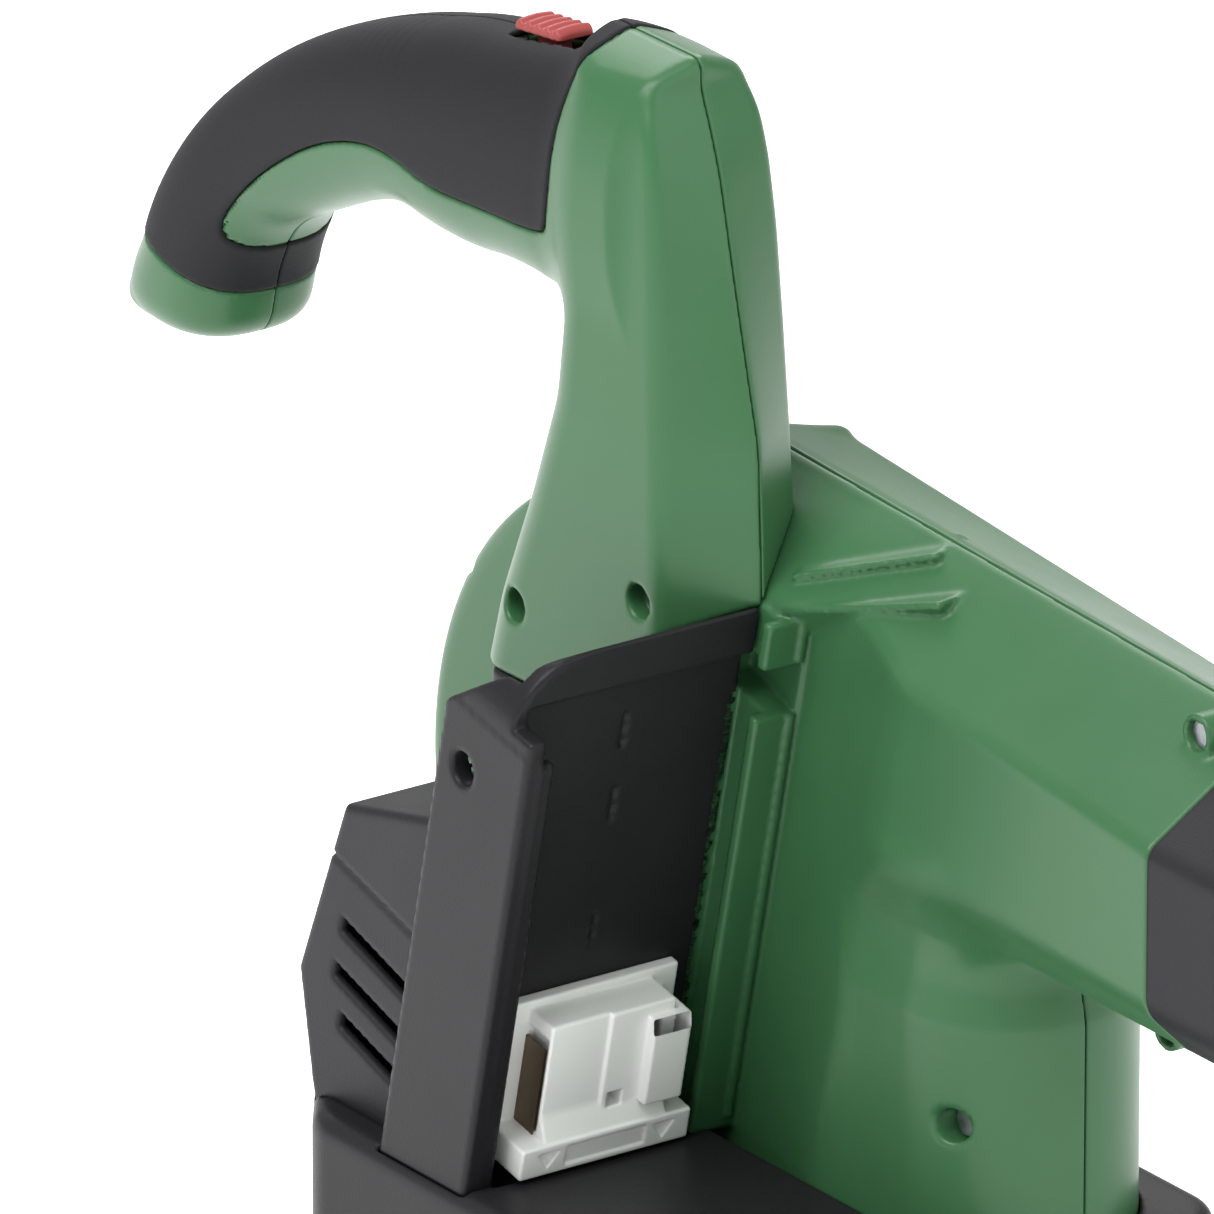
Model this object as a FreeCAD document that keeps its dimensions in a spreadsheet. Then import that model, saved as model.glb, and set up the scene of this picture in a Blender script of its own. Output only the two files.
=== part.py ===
import FreeCAD, Part
import math
import os

"""Hand-held cordless leaf blower, without its battery.

X points forward along the air tube, Y to the left and Z up.  The origin is on the surface that the
base stands on, under the fan's axis line, in the plane where the two fan housing halves meet.
"""

Vector = FreeCAD.Vector
Rotation = FreeCAD.Rotation
Placement = FreeCAD.Placement

doc = FreeCAD.newDocument("leaf_blower")
sheet = doc.addObject("Spreadsheet::Sheet", "sizes")

SIZES = {
    # walls and fits
    "wall": 2.4, "tube_wall": 1.8, "gap": 0.3, "slide_gap": 0.4, "shaft_gap": 0.02,
    # fan housing
    "fan_x": -12, "fan_z": 92, "housing_half": 30, "tongue_angle": 20,
    "volute_start": 71, "volute_growth": 28,
    # outlet duct
    "duct_front": 190, "duct_half_rear": 27, "duct_half_front": 36, "duct_ridge_rear": 197,
    "duct_ridge_front": 188, "duct_crease_rear": 179, "duct_crease_front": 165.3,
    "duct_left_lift": 10, "duct_side_foot": 127, "duct_floor": 113, "duct_floor_half": 22,
    "spigot_length": 24,
    # upright nose below the duct
    "nose_centre": 90, "nose_half": 30, "nose_top": 98,
    # air tube
    "tube_front": 700, "tube_joint": 460, "morph_length": 75, "pipe_radius": 30,
    "nozzle_radius": 25, "tube_drop": 4, "pipe_overlap": 26,
    # handle and neck
    "handle_y": -30, "grip_width": 38, "grip_end": 176, "cover_skin": 1.5, "neck_half": 21, "neck_front": 37,
    # battery bay
    "bay_tilt": 12.8, "bay_x": 40, "bay_z": 152, "bay_outer": -98, "bay_inner": -93,
    "rail_inner": -31, "lip": 3, "lip_reach": 3, "bay_floor": 12, "bay_length": 119,
    "column_depth": 33, "ledge_step": 7.8, "ledge_top": 20, "groove_low": -2.5, "groove_high": 8,
    # base
    "base_rear": -104, "base_front": 126, "base_right": -100, "base_left": 40, "base_top": 38,
    "base_wall": 3, "base_corner": 16, "base_cut_back": 60, "base_cut_side": 44, "foot_radius": 8,
    "foot_thick": 2,
    # motor
    "can_radius": 19.5, "can_wall": 1.6, "can_length": 40, "can_right": -78, "shaft_radius": 2.5,
    "bearing_radius": 8, "bearing_width": 5, "rotor_radius": 11.5, "magnet_thick": 4.4,
    # fan
    "impeller_radius": 52, "impeller_width": 40, "impeller_right": -18, "blade_count": 11,
    "blade_thick": 1.6, "hub_radius": 9, "intake_radius": 34,
    # switch
    "slider_length": 18, "slider_width": 10, "slider_travel": 8, "switch_x": -42,
    # control board
    "board_low": 188, "board_length": 26, "board_thick": 1.6, "board_height": 36,
    # screws
    "screw_radius": 1.75, "head_radius": 3.4, "recess_radius": 4.2, "boss_radius": 4.6,
}
for row, (alias, value) in enumerate(SIZES.items(), start=1):
    sheet.set("A%d" % row, alias)
    sheet.set("B%d" % row, str(value))
    sheet.setAlias("B%d" % row, alias)
doc.recompute()


def size(alias):
    """One driving dimension, read back from the sheet."""
    return float(getattr(sheet, alias))


wall = size("wall")
gap = size("gap")
fan_x = size("fan_x")
fan_z = size("fan_z")
housing_half = size("housing_half")
handle_y = size("handle_y")
duct_front = size("duct_front")
nodes = []
FAR = 1000


# ---------------------------------------------------------------- general shapes

def keep(item, label):
    """Give a finished piece its name and put it on the list of pieces."""
    item.Label = label
    nodes.append(item)
    return item


def piece(label, shape):
    """A piece whose shape comes from surfaces and booleans."""
    item = doc.addObject("Part::Feature", label)
    item.Shape = shape
    return keep(item, label)


def block(x_range, y_range, z_range):
    """An upright box between pairs of limits."""
    low = Vector(x_range[0], y_range[0], z_range[0])
    return Part.makeBox(x_range[1] - x_range[0], y_range[1] - y_range[0], z_range[1] - z_range[0], low)


def plate_y(outline, y_low, y_high):
    """A plate with an outline in X and Z, between two places along Y."""
    corners = [Vector(x, y_low, z) for x, z in outline]
    face = Part.Face(Part.makePolygon(corners + corners[:1]))
    return face.extrude(Vector(0, y_high - y_low, 0))


def rod(radius, start, end):
    """A round bar from one point to another."""
    return Part.makeCylinder(radius, (end - start).Length, start, end - start)


def bar_y(radius, x, z, y_low, y_high):
    """A round bar along Y."""
    return rod(radius, Vector(x, y_low, z), Vector(x, y_high, z))


def join(shapes):
    """Several shapes as one solid."""
    return shapes[0].multiFuse(shapes[1:]) if len(shapes) > 1 else shapes[0]


def half_space(y_low, y_high):
    """Everything between two places along Y."""
    return block((-FAR, FAR), (y_low, y_high), (-FAR, FAR))


def blend(start, end, part):
    """A value part of the way from start to end."""
    return start + (end - start) * part


# ---------------------------------------------------------------- fan housing

def volute(inset, y_low, y_high):
    """The scroll: its radius grows evenly from the tongue, down the front and round to the top."""
    points = []
    steps = 16
    for step in range(steps + 1):
        turned = 290 * step / steps
        radius = size("volute_start") + size("volute_growth") * turned / 360 - inset
        angle = math.radians(size("tongue_angle") - turned)
        points.append(Vector(fan_x + radius * math.cos(angle), y_low, fan_z + radius * math.sin(angle)))
    curve = Part.BSplineCurve()
    curve.interpolate(points)
    closing = Part.LineSegment(points[-1], points[0])
    face = Part.Face(Part.Wire([curve.toShape(), closing.toShape()]))
    return face.extrude(Vector(0, y_high - y_low, 0))


def duct_corners(x, inset):
    """Section of the duct at one place along X; past its front end the section stays the same."""
    along = min(1, (x - fan_x) / (duct_front - fan_x))
    half = blend(size("duct_half_rear"), size("duct_half_front"), along) - inset
    ridge = blend(size("duct_ridge_rear"), size("duct_ridge_front"), along) - inset * 1.15
    crease = blend(size("duct_crease_rear"), size("duct_crease_front"), along) - inset * 0.6
    side_foot = size("duct_side_foot") + inset * 0.5
    floor = size("duct_floor") + inset
    floor_half = size("duct_floor_half") - inset * 0.4
    right = [(-half, crease), (-half, side_foot), (-floor_half, floor)]
    lift = size("duct_left_lift") * (1 - along)
    left = [(floor_half, floor), (half, side_foot), (half, crease + lift)]
    return [Vector(x, y, z) for y, z in [(0, ridge)] + right + left]


def loft_corners(sections):
    """A solid with straight edges between matching corners of its sections."""
    wires = [Part.makePolygon(corners + corners[:1]) for corners in sections]
    return Part.makeLoft(wires, True, True)


def duct(inset, x_low, x_high):
    """The duct between two places along X."""
    return loft_corners([duct_corners(x_low, inset), duct_corners(x_high, inset)])


def duct_tail(inset):
    """The duct's rear end, which sinks into the scroll."""
    front = duct_corners(fan_x, inset)
    sink = Vector(-45, 0, -14)
    rear = [Vector(p.x + sink.x, p.y * 0.9, min(p.z + sink.z, 170 - inset)) for p in front]
    return loft_corners([rear, front])


def stadium(x_rear, centre, half, z_low, z_high):
    """An upright block with a half-round front."""
    a = Vector(x_rear, -half, z_low)
    b = Vector(centre, -half, z_low)
    c = Vector(centre + half, 0, z_low)
    d = Vector(centre, half, z_low)
    e = Vector(x_rear, half, z_low)
    edges = [Part.LineSegment(a, b), Part.Arc(b, c, d), Part.LineSegment(d, e), Part.LineSegment(e, a)]
    return Part.Face(Part.Wire([edge.toShape() for edge in edges])).extrude(Vector(0, 0, z_high - z_low))


def nose(inset):
    """The round-fronted part that carries the duct, drawn in a little at its top."""
    half = size("nose_half") - inset
    centre = size("nose_centre")
    rear = 30 + inset
    low = stadium(rear, centre, half, 14 + inset, size("nose_top"))
    high = stadium(rear, centre - 2, half - 5, size("nose_top"), size("duct_floor") + 8)
    return low.fuse(high)


# ---------------------------------------------------------------- battery bay frame

tilt = math.radians(size("bay_tilt"))
bay_out = Vector(math.cos(tilt), 0, -math.sin(tilt))
bay_up = Vector(math.sin(tilt), 0, math.cos(tilt))
bay_origin = Vector(size("bay_x"), 0, size("bay_z"))


def bay_point(out, y, up):
    """A point given by its height off the rail faces, its place along Y and its height along the slide."""
    return bay_origin + bay_out * out + Vector(0, y, 0) + bay_up * up


def bay_block(out_range, y_range, up_range):
    """A box that lies along the battery's slide."""
    corners = [bay_point(out_range[0], y_range[0], up_range[0]), bay_point(out_range[1], y_range[0], up_range[0]),
               bay_point(out_range[1], y_range[0], up_range[1]), bay_point(out_range[0], y_range[0], up_range[1])]
    face = Part.Face(Part.makePolygon(corners + corners[:1]))
    return face.extrude(Vector(0, y_range[1] - y_range[0], 0))


def battery_room(grow):
    """The room that a slide-in battery takes in front of the rails, with its rounded inner corner."""
    inner_y = size("rail_inner") + 9
    face_low = [bay_point(-26, -150, -130), bay_point(-26, inner_y + grow, -130),
                bay_point(14, inner_y + grow, -130), bay_point(38, inner_y - 5 + grow, -130),
                bay_point(54 + grow, inner_y - 16 + grow, -130), bay_point(62 + grow, -150, -130)]
    return Part.Face(Part.makePolygon(face_low + face_low[:1])).extrude(bay_up * 146)


# ---------------------------------------------------------------- neck and handle

GRIP_SPINE = [
    # x, z, downward slope in degrees, depth across the spine
    (4, 261, 0, 60), (-24, 260.4, 1, 61.2), (-47.9, 259.2, 4, 54.1), (-71.9, 256, 6, 53.8),
    (-95.4, 254.6, 12, 42.8), (-119.2, 246.6, 23, 40.5), (-140.4, 235.6, 30, 38.6), (-161.1, 222.4, 43, 32.9),
    (-174.2, 204.2, 61, 36.2), (-179.5, 188.2, 70, 40.4),
]


def rounded_section(centre, across, depth, width, power):
    """A closed curve between an ellipse and a rectangle, across the spine and along Y."""
    points = []
    count = 20
    for step in range(count):
        angle = 2 * math.pi * step / count
        c = math.cos(angle)
        s = math.sin(angle)
        along_y = width / 2 * math.copysign(abs(c) ** (2 / power), c)
        along_spine_normal = depth / 2 * math.copysign(abs(s) ** (2 / power), s)
        points.append(centre + Vector(0, along_y, 0) + across * along_spine_normal)
    curve = Part.BSplineCurve()
    curve.interpolate(Points=points, PeriodicFlag=True)
    return Part.Wire([curve.toShape()])


def grip(inset):
    """The curved handle, from inside the neck to its rounded end."""
    sections = []
    for x, z, slope, depth in GRIP_SPINE:
        angle = math.radians(slope)
        across = Vector(-math.sin(angle), 0, math.cos(angle))
        width = size("grip_width") - 2 * inset
        sections.append(rounded_section(Vector(x, handle_y, z), across, depth - 2 * inset, width, 2.5))
    body = Part.makeLoft(sections, True, False)
    x, z, slope, depth = GRIP_SPINE[-1]
    angle = math.radians(slope)
    ahead = Vector(-math.cos(angle), 0, -math.sin(angle))
    across = Vector(-math.sin(angle), 0, math.cos(angle))
    end = Vector(x, handle_y, z)
    caps = []
    for reach, scale in [(0, 1), (6, 0.99), (11, 0.95), (14, 0.88)]:
        out = max(reach - inset, 0.4 * reach)
        depth_here = (depth - 2 * inset) * scale
        width_here = (size("grip_width") - 2 * inset) * scale
        caps.append(rounded_section(end + ahead * out, across, depth_here, width_here, 2.5))
    cap = Part.makeLoft(caps, True, False)
    below_end = block((-FAR, 0), (-FAR, FAR), (0, size("grip_end") + inset))
    return body.fuse(cap).cut(below_end)


NECK_LEVELS = [
    # z, ridge x, crease x, crease half, rear x, side half (share of the neck's half width)
    (292.5, 11.2, 9.2, 12.5, -22, 0.76), (289, 12.6, 10.6, 14.5, -22, 0.83), (283, 15.3, 13.5, 16, -21, 0.89),
    (272, 19.3, 15.8, 17, -21, 0.93), (256, 23.2, 17.7, 17.8, -22, 0.97), (233, 29.1, 19.2, 18.6, -22, 1.0),
    (211, 35, 20.6, 19.1, -25, 1.0), (184, 36.2, 21.8, 19.9, -35, 1.0), (156, 37, 21.8, 19.9, -47, 1.0),
    (132, 37, 21.8, 19.9, -54, 1.0),
]


CROWN_FLAT = 2
CROWN_SLOPE = 0.34


def neck(inset):
    """The upright neck: a ridge and two creases at the front, flat sides and a narrower back."""
    forward = size("neck_front") - 37
    sections = []
    for z, ridge, crease, crease_half, rear, share in NECK_LEVELS:
        half = size("neck_half") * share - inset
        level = z - (inset if z > 290 else 0)
        right = [(crease + forward - inset * 0.8, -crease_half + inset * 0.8), (rear + 9, -half),
                 (rear + inset, -half + 8)]
        left = [(x, -y) for x, y in reversed(right)]
        ring = [(ridge + forward - inset * 1.1, 0)] + right + left
        sections.append([Vector(x, handle_y + y, level) for x, y in ring])
    top_level = NECK_LEVELS[0][0] - inset
    crown = []
    for side in (-1, 1):
        outline = [(CROWN_FLAT, top_level), (FAR / 20, top_level - CROWN_SLOPE * (FAR / 20 - CROWN_FLAT)),
                   (FAR / 20, top_level + 20), (CROWN_FLAT, top_level + 20)]
        corners = [Vector(-FAR / 10, handle_y + side * y, z) for y, z in outline]
        crown.append(Part.Face(Part.makePolygon(corners + corners[:1])).extrude(Vector(FAR / 5, 0, 0)))
    return loft_corners(sections).cut(join(crown))


COVER_EDGE = [
    # the soft cover's edge seen from the side, from the neck back to the band at the handle's end
    (-15, 310), (-15, 293), (-19, 281), (-22, 252), (-26, 248), (-52, 247), (-70, 246), (-86, 250),
    (-100, 249), (-119, 242), (-143, 226), (-160, 209), (-153, 202), (-138, 197), (-140, 186),
    (-164, 192), (-198, 201), (-240, 212), (-240, 310),
]


# ---------------------------------------------------------------- build the shells

housing_outer = join([volute(0, -housing_half, housing_half), duct(0, fan_x, duct_front), duct_tail(0), nose(0)])
spigot_gap = size("tube_wall") + size("slide_gap")
spigot_rear = duct_front - 8
spigot = duct(spigot_gap, spigot_rear, duct_front + size("spigot_length"))
housing_outer = housing_outer.fuse(spigot)
lugs = [(168, 110), (178, 184), (-84, 146), (-84, 44)]
lug_radius = size("boss_radius") + 0.4
housing_outer = join([housing_outer] + [bar_y(lug_radius, x, z, -14, 14) for x, z in lugs])
rail_floor = -20
rail = bay_block((rail_floor, 0), (size("rail_inner") - size("lip_reach"), size("rail_inner") + 9),
                 (-size("bay_length"), size("groove_high") + 10))
rail_slot = bay_block((-size("bay_floor") - FAR / 100, -size("lip")),
                      (size("rail_inner") - size("lip_reach") - 5, size("rail_inner")), (-200, 60))
latch_notch = bay_block((-18, 20), (size("rail_inner") - 20, size("rail_inner") + 4),
                        (size("groove_low") - 3, size("groove_high") + 2))
inner_half = housing_half - wall
volute_inner = volute(wall, -inner_half, inner_half)
duct_inner = join([duct(wall, fan_x, duct_front - 4),
                   duct(wall + spigot_gap, spigot_rear, duct_front + size("spigot_length") + 5)])
tail_inner = duct_tail(wall)
nose_wall = volute(0, -housing_half, housing_half).fuse(duct(0, fan_x, duct_front))
nose_inner = nose(wall).cut(nose_wall)
room = battery_room(0)
room_grown = battery_room(wall)
air_path = join([volute_inner, duct_inner, tail_inner]).cut(room_grown)
SHELF_DEEP = 12
SHELF_DROP = 14
fins = []
for start, tip in [((40, -25, 181), (71.5, -7, 192)), ((40, -29, 173.6), (86, -17, 187))]:
    outward = (Vector(*tip) - Vector(*start)).cross(Vector(0, 0, 1))
    outward.normalize()
    sections = []
    for edge in (Vector(*start), Vector(*tip)):
        root = edge - outward * SHELF_DEEP
        sections.append([edge, root, root - Vector(0, 0, SHELF_DROP)])
    fins.append(loft_corners(sections))
housing = join([housing_outer.cut(room), rail.cut(rail_slot).cut(latch_notch)] + fins)
housing = housing.cut(air_path).cut(nose_inner.cut(room_grown))
motor_hole = bar_y(size("can_radius") + gap, fan_x, fan_z, -housing_half - 1, -housing_half + wall + 1)
intake_hole = bar_y(size("intake_radius"), fan_x, fan_z, housing_half - wall - 1, housing_half + 1)
screw_axes = [(104, 68)] + lugs
bosses = [bar_y(size("boss_radius"), x, z, -housing_half + wall, inner_half - 4) for x, z in screw_axes[:1]]
housing = join([housing] + bosses).cut(motor_hole).cut(intake_hole)

grip_outer = grip(0)
neck_outer = neck(0)
handle_outer = neck_outer.fuse(grip_outer)
handle_inner = neck(wall).fuse(grip(wall))
skin = size("cover_skin")
under_skin = neck(skin).fuse(grip(skin))
cover_region = plate_y(COVER_EDGE, -80, 20)
cover = handle_outer.cut(under_skin).common(cover_region)
handle_shell = handle_outer.cut(handle_inner).cut(cover)

# ---------------------------------------------------------------- screws

HEAD_HEIGHT = 2.2


def screw(x, z, head_y, length, facing):
    """A pan-head screw along Y; facing is -1 when its head is on the right."""
    under_head = head_y - HEAD_HEIGHT * facing
    head = bar_y(size("head_radius"), x, z, min(head_y, under_head), max(head_y, under_head))
    end = head_y - length * facing
    shank = bar_y(size("screw_radius"), x, z, min(head_y, end), max(head_y, end))
    return head.fuse(shank)


def screw_room(x, z, head_y, length, facing, surface_y):
    """The hole for a screw: a recess down to the head and a bore for the shank."""
    under_head = head_y - HEAD_HEIGHT * facing
    recess = bar_y(size("recess_radius"), x, z, min(surface_y, under_head), max(surface_y, under_head))
    end = head_y - (length + 1) * facing
    bore = bar_y(size("screw_radius"), x, z, min(head_y, end), max(head_y, end))
    return recess.fuse(bore)


def screw_group(label, places, length, facing):
    """Identical screws as one group of separate solids."""
    solids = [screw(x, z, head_y, length, facing) for x, z, head_y in places]
    return piece(label, Part.makeCompound(solids))


def cut_screws(shape, places, length, facing, surface_y):
    """Make room in a piece for its screws."""
    return shape.cut(join([screw_room(x, z, y, length, facing, surface_y) for x, z, y in places]))


# ---------------------------------------------------------------- housing halves

housing_screws = [(x, z, -22 if x == 104 else -12) for x, z in screw_axes]
housing = cut_screws(housing, housing_screws, 18, -1, -60)
right_half = housing.common(half_space(-FAR / 10, 0))
left_half = housing.common(half_space(0, FAR / 10))

# ---------------------------------------------------------------- handle halves

neck_screws = [(15, 172, -45), (-33, 156, -43)]
grip_screws = [(-4, 262, -18), (-100, 251, -18), (-166, 207, -18)]
grip_bosses = [bar_y(size("boss_radius"), x, z, -47, -13) for x, z, y in grip_screws]
neck_bosses = [bar_y(size("boss_radius"), x, z, -49, handle_y) for x, z, y in neck_screws]
boss_end = (skin + wall) / 2
boss_material = join(grip_bosses + neck_bosses).common(neck(boss_end).fuse(grip(boss_end)))
handle_shell = handle_shell.fuse(boss_material)
handle_shell = cut_screws(handle_shell, grip_screws, 18, 1, 5)
handle_shell = cut_screws(handle_shell, neck_screws, 20, -1, -60)
cover = cut_screws(cover, grip_screws, 18, 1, 5)
right_half = cut_screws(right_half, neck_screws, 20, -1, -60)
below_seat = plate_y([(-90, 138 + gap), (-26, 138 + gap), (size("neck_front"), 174 + gap), (90, 204 + gap),
                      (90, -50), (-90, -50)], -150, handle_y)
switch_room = block((size("switch_x") - 14, size("switch_x") + 14), (handle_y - 5.8, handle_y + 5.8), (275, 300))
handle_cut = join([below_seat, switch_room])
body_room = join([volute(-gap, -housing_half, housing_half), duct(-gap, fan_x, duct_front), duct_tail(-gap)])
handle_right = handle_shell.cut(handle_cut).common(half_space(-FAR / 10, handle_y))
handle_left = handle_shell.cut(switch_room).common(half_space(handle_y, FAR / 10)).cut(body_room).cut(join(fins))
handle_left = handle_left.cut(right_half)
handle_left = handle_left.cut(block((-90, 60), (-40, 10), (0, 150)))
cover_right = cover.cut(switch_room).common(half_space(-FAR / 10, handle_y))
cover_left = cover.cut(switch_room).common(half_space(handle_y, FAR / 10))


def largest(shape):
    """The main solid of a cut shape, without slivers."""
    return max(shape.Solids, key=lambda solid: solid.Volume)


piece("handle_shell_right", largest(handle_right))
piece("handle_shell_left", largest(handle_left))
piece("grip_cover_right", largest(cover_right))
piece("grip_cover_left", largest(cover_left))

# ---------------------------------------------------------------- battery bay frame

outer_y = size("bay_outer")
inner_y = size("bay_inner")
rail_y = size("rail_inner")
depth = size("column_depth")
length = size("bay_length")
floor_out = -size("bay_floor")
side_wall = bay_block((-depth, 0), (outer_y, inner_y), (-length, 4))
lip_bar = bay_block((-size("lip"), 0), (inner_y, inner_y + size("lip_reach")), (-length, size("groove_low")))
floor_plate = bay_block((floor_out - 3, floor_out), (inner_y, rail_y), (-length, size("ledge_top") - 2))
ledge_box = bay_block((-depth, -size("ledge_step")), (outer_y, rail_y), (size("groove_high"), size("ledge_top")))
ledge_round = 20
corner_ring = bay_block((-FAR / 10, FAR / 10), (outer_y - 5, outer_y + ledge_round),
                        (size("ledge_top") - ledge_round, size("ledge_top") + 40))
corner_centre = bay_point(0, outer_y + ledge_round, size("ledge_top") - ledge_round)
corner_keep = rod(ledge_round, corner_centre - bay_out * 100, corner_centre + bay_out * 100)
corner_cut = corner_ring.cut(corner_keep)
top_plane_cut = plate_y([(-90, 138), (-26, 138), (size("neck_front"), 174), (70, 193), (70, 230), (-90, 230)],
                        -150, handle_y)
side_top = bay_block((-depth, -size("ledge_step")), (outer_y, inner_y), (-length, size("ledge_top")))
rear_block = block((-44, 40), (-51, handle_y - 1 - gap), (112, 150)).common(
    bay_block((-FAR / 10, -size("bay_floor")), (-60, 0), (-200, 60)))
rear_block = rear_block.cut(block((-41, 8), (-48, handle_y - 3), (100, 135)))
lead_way_up = block((-20, 0), (-46.5, -36), (130, 160))
lead_way_out = block((-20, -4), (-52, -45), (110, 121))
rear_block = rear_block.cut(lead_way_up).cut(lead_way_out)
frame_shape = join([side_wall, side_top, lip_bar, floor_plate, ledge_box])
frame_shape = frame_shape.cut(bay_block((-FAR / 10, -depth), (-150, 0), (-300, 100))).fuse(rear_block)
frame_shape = frame_shape.cut(top_plane_cut).cut(corner_cut)
base_floor = size("base_wall") + gap
frame_shape = frame_shape.common(block((-150, 100), (-120, handle_y - gap), (base_floor + 4, 400)))
tick_cuts = [bay_block((floor_out - 0.6, floor_out + 1), (-62.4, -61.6), (up, up + 9)) for up in (-12, -32, -66)]
frame_shape = frame_shape.cut(join(tick_cuts))
column_screws = [(14, 142, -92)]
frame_boss = bar_y(size("boss_radius"), 14, 142, outer_y + 1, -82).common(
    bay_block((-depth, floor_out), (outer_y, 0), (-length, size("ledge_top"))))
frame_shape = frame_shape.fuse(frame_boss).cut(screw_room(14, 142, -92, 14, -1, -120))

# ---------------------------------------------------------------- terminal block

block_low = -size("bay_length") + 4
block_mid = (inner_y + rail_y) / 2
block_back = bay_block((floor_out, floor_out + 3), (block_mid - 24, block_mid + 24), (block_low, block_low + 40))
block_body = bay_block((floor_out, floor_out + 12), (block_mid - 17, block_mid + 17), (block_low + 6, block_low + 38))
block_foot = bay_block((floor_out, floor_out + 15), (block_mid - 22, block_mid + 22), (block_low, block_low + 8))
blade_slots = []
blades = []
for side_y in (block_mid - 19, block_mid + 15):
    blade_slots.append(bay_block((floor_out + 3, floor_out + 11), (side_y, side_y + 4), (block_low + 8, block_low + 34)))
    blades.append(bay_block((floor_out + 3, floor_out + 10.5), (side_y + 1.6, side_y + 2.4),
                            (block_low + 8, block_low + 31)))
signal_slot = bay_block((floor_out + 6, floor_out + 20), (block_mid + 1, block_mid + 5), (block_low + 12, block_low + 16))
signal_pin = bay_block((floor_out + 6, floor_out + 9), (block_mid + 2, block_mid + 4), (block_low + 13, block_low + 15))
terminal = join([block_back, block_body, block_foot]).cut(join(blade_slots)).cut(signal_slot)
frame_shape = frame_shape.cut(bay_block((floor_out - 3.2, floor_out), (block_mid - 3, block_mid + 3),
                                        (block_low + 10, block_low + 20)))

# ---------------------------------------------------------------- motor cover

cover_right_y = -90
outline = [(-45, 112), (9, 124), (9, 100), (-20, 8), (-49, 8), (-59, 38), (-64, 66)]
shell_outer = plate_y(outline, cover_right_y, -housing_half - gap)
inner_outline = [(-44, 108.6), (14, 121), (14, 100), (-17, 2), (-46.6, 2), (-56, 38), (-60.6, 66)]
shell_inner = plate_y(inner_outline, cover_right_y + 3, 0)
column_room = bay_block((-depth - gap, 40), (-150, 0), (-200, 100))
cover_shape = shell_outer.cut(shell_inner).cut(column_room)
cover_shape = cover_shape.cut(block((-44.5, 14), (-51.5, 0), (111, 150)))
slots = []
for x, z in [(-47, 80), (-50, 68), (-48, 56)]:
    slot_run = Vector(math.cos(math.radians(18)), 0, -math.sin(math.radians(18)))
    slot_side = Vector(slot_run.z * -1, 0, slot_run.x)
    start = Vector(x, cover_right_y - 2, z)
    ring = [start, start + slot_run * 30, start + slot_run * 30 + slot_side * 4.2, start + slot_side * 4.2]
    slots.append(Part.Face(Part.makePolygon(ring + ring[:1])).extrude(Vector(0, 8, 0)))
cover_shape = cover_shape.cut(join(slots))

# ---------------------------------------------------------------- base

top = size("base_top")
corner = size("base_corner")
base_rear = size("base_rear")
base_right = size("base_right")
BASE_PLAN = [Vector(base_rear, size("base_left"), 0), Vector(base_rear, base_right + size("base_cut_side"), 0),
             Vector(base_rear + size("base_cut_back"), base_right, 0), Vector(size("base_front"), base_right, 0),
             Vector(size("base_front"), size("base_left"), 0)]


def rounded_block(inset, z_low, z_high):
    """The base's plan, drawn in by inset, with round corners."""
    points = []
    count = len(BASE_PLAN)
    for index in range(count):
        back = BASE_PLAN[index] - BASE_PLAN[index - 1]
        ahead = BASE_PLAN[(index + 1) % count] - BASE_PLAN[index]
        back.normalize()
        ahead.normalize()
        inward = Vector(-back.y - ahead.y, back.x + ahead.x, 0)
        points.append(BASE_PLAN[index] + inward * (inset / (1 + back.dot(ahead))) + Vector(0, 0, z_low))
    solid = Part.Face(Part.makePolygon(points + points[:1])).extrude(Vector(0, 0, z_high - z_low))
    upright = [edge for edge in solid.Edges if abs(edge.Vertexes[0].Z - edge.Vertexes[-1].Z) > 1]
    return solid.makeFillet(corner - inset, upright)


base_wall = size("base_wall")
base_shape = rounded_block(0, 0, top).cut(rounded_block(base_wall, base_wall, top - base_wall))
column_plan = bay_block((-depth - gap, gap), (outer_y - gap, 0), (-200, 60))
cover_plan = plate_y([(-49 - gap, 8 - gap), (-59 - gap, 38), (-62, 60), (20, 60), (10, 8 - gap)],
                     cover_right_y - gap, 0)
base_room = join([volute(-gap, -housing_half - gap, housing_half + gap), nose(-gap), column_plan, cover_plan])
base_shape = base_shape.cut(base_room.common(block((-FAR, FAR), (-FAR, FAR), (base_floor, FAR))))
foot_edge = 22
feet_places = [(base_rear + foot_edge, size("base_left") - foot_edge),
               (size("base_front") - foot_edge, size("base_left") - foot_edge),
               (size("base_front") - foot_edge, base_right + foot_edge),
               (base_rear + 2 * foot_edge, base_right + 1.5 * foot_edge)]
feet = [rod(size("foot_radius"), Vector(x, y, 0), Vector(x, y, size("foot_thick"))) for x, y in feet_places]
base_shape = base_shape.cut(join(feet))
base_solid = largest(base_shape)
piece("bay_frame", largest(frame_shape))
piece("terminal_block", largest(terminal))
piece("power_contact_blades", Part.makeCompound(blades))
piece("signal_contact", signal_pin)
piece("motor_cover", largest(cover_shape))
piece("base_foot", base_solid)
piece("rubber_feet", Part.makeCompound(feet))
screw_group("body_screws", housing_screws, 18, -1)
screw_group("neck_screws", neck_screws, 20, -1)
screw_group("grip_screws", grip_screws, 18, 1)
screw_group("column_screw", column_screws, 14, -1)

# ---------------------------------------------------------------- round pieces on the fan's axis

ON_AXIS = Rotation(Vector(1, 0, 0), -90)


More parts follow.
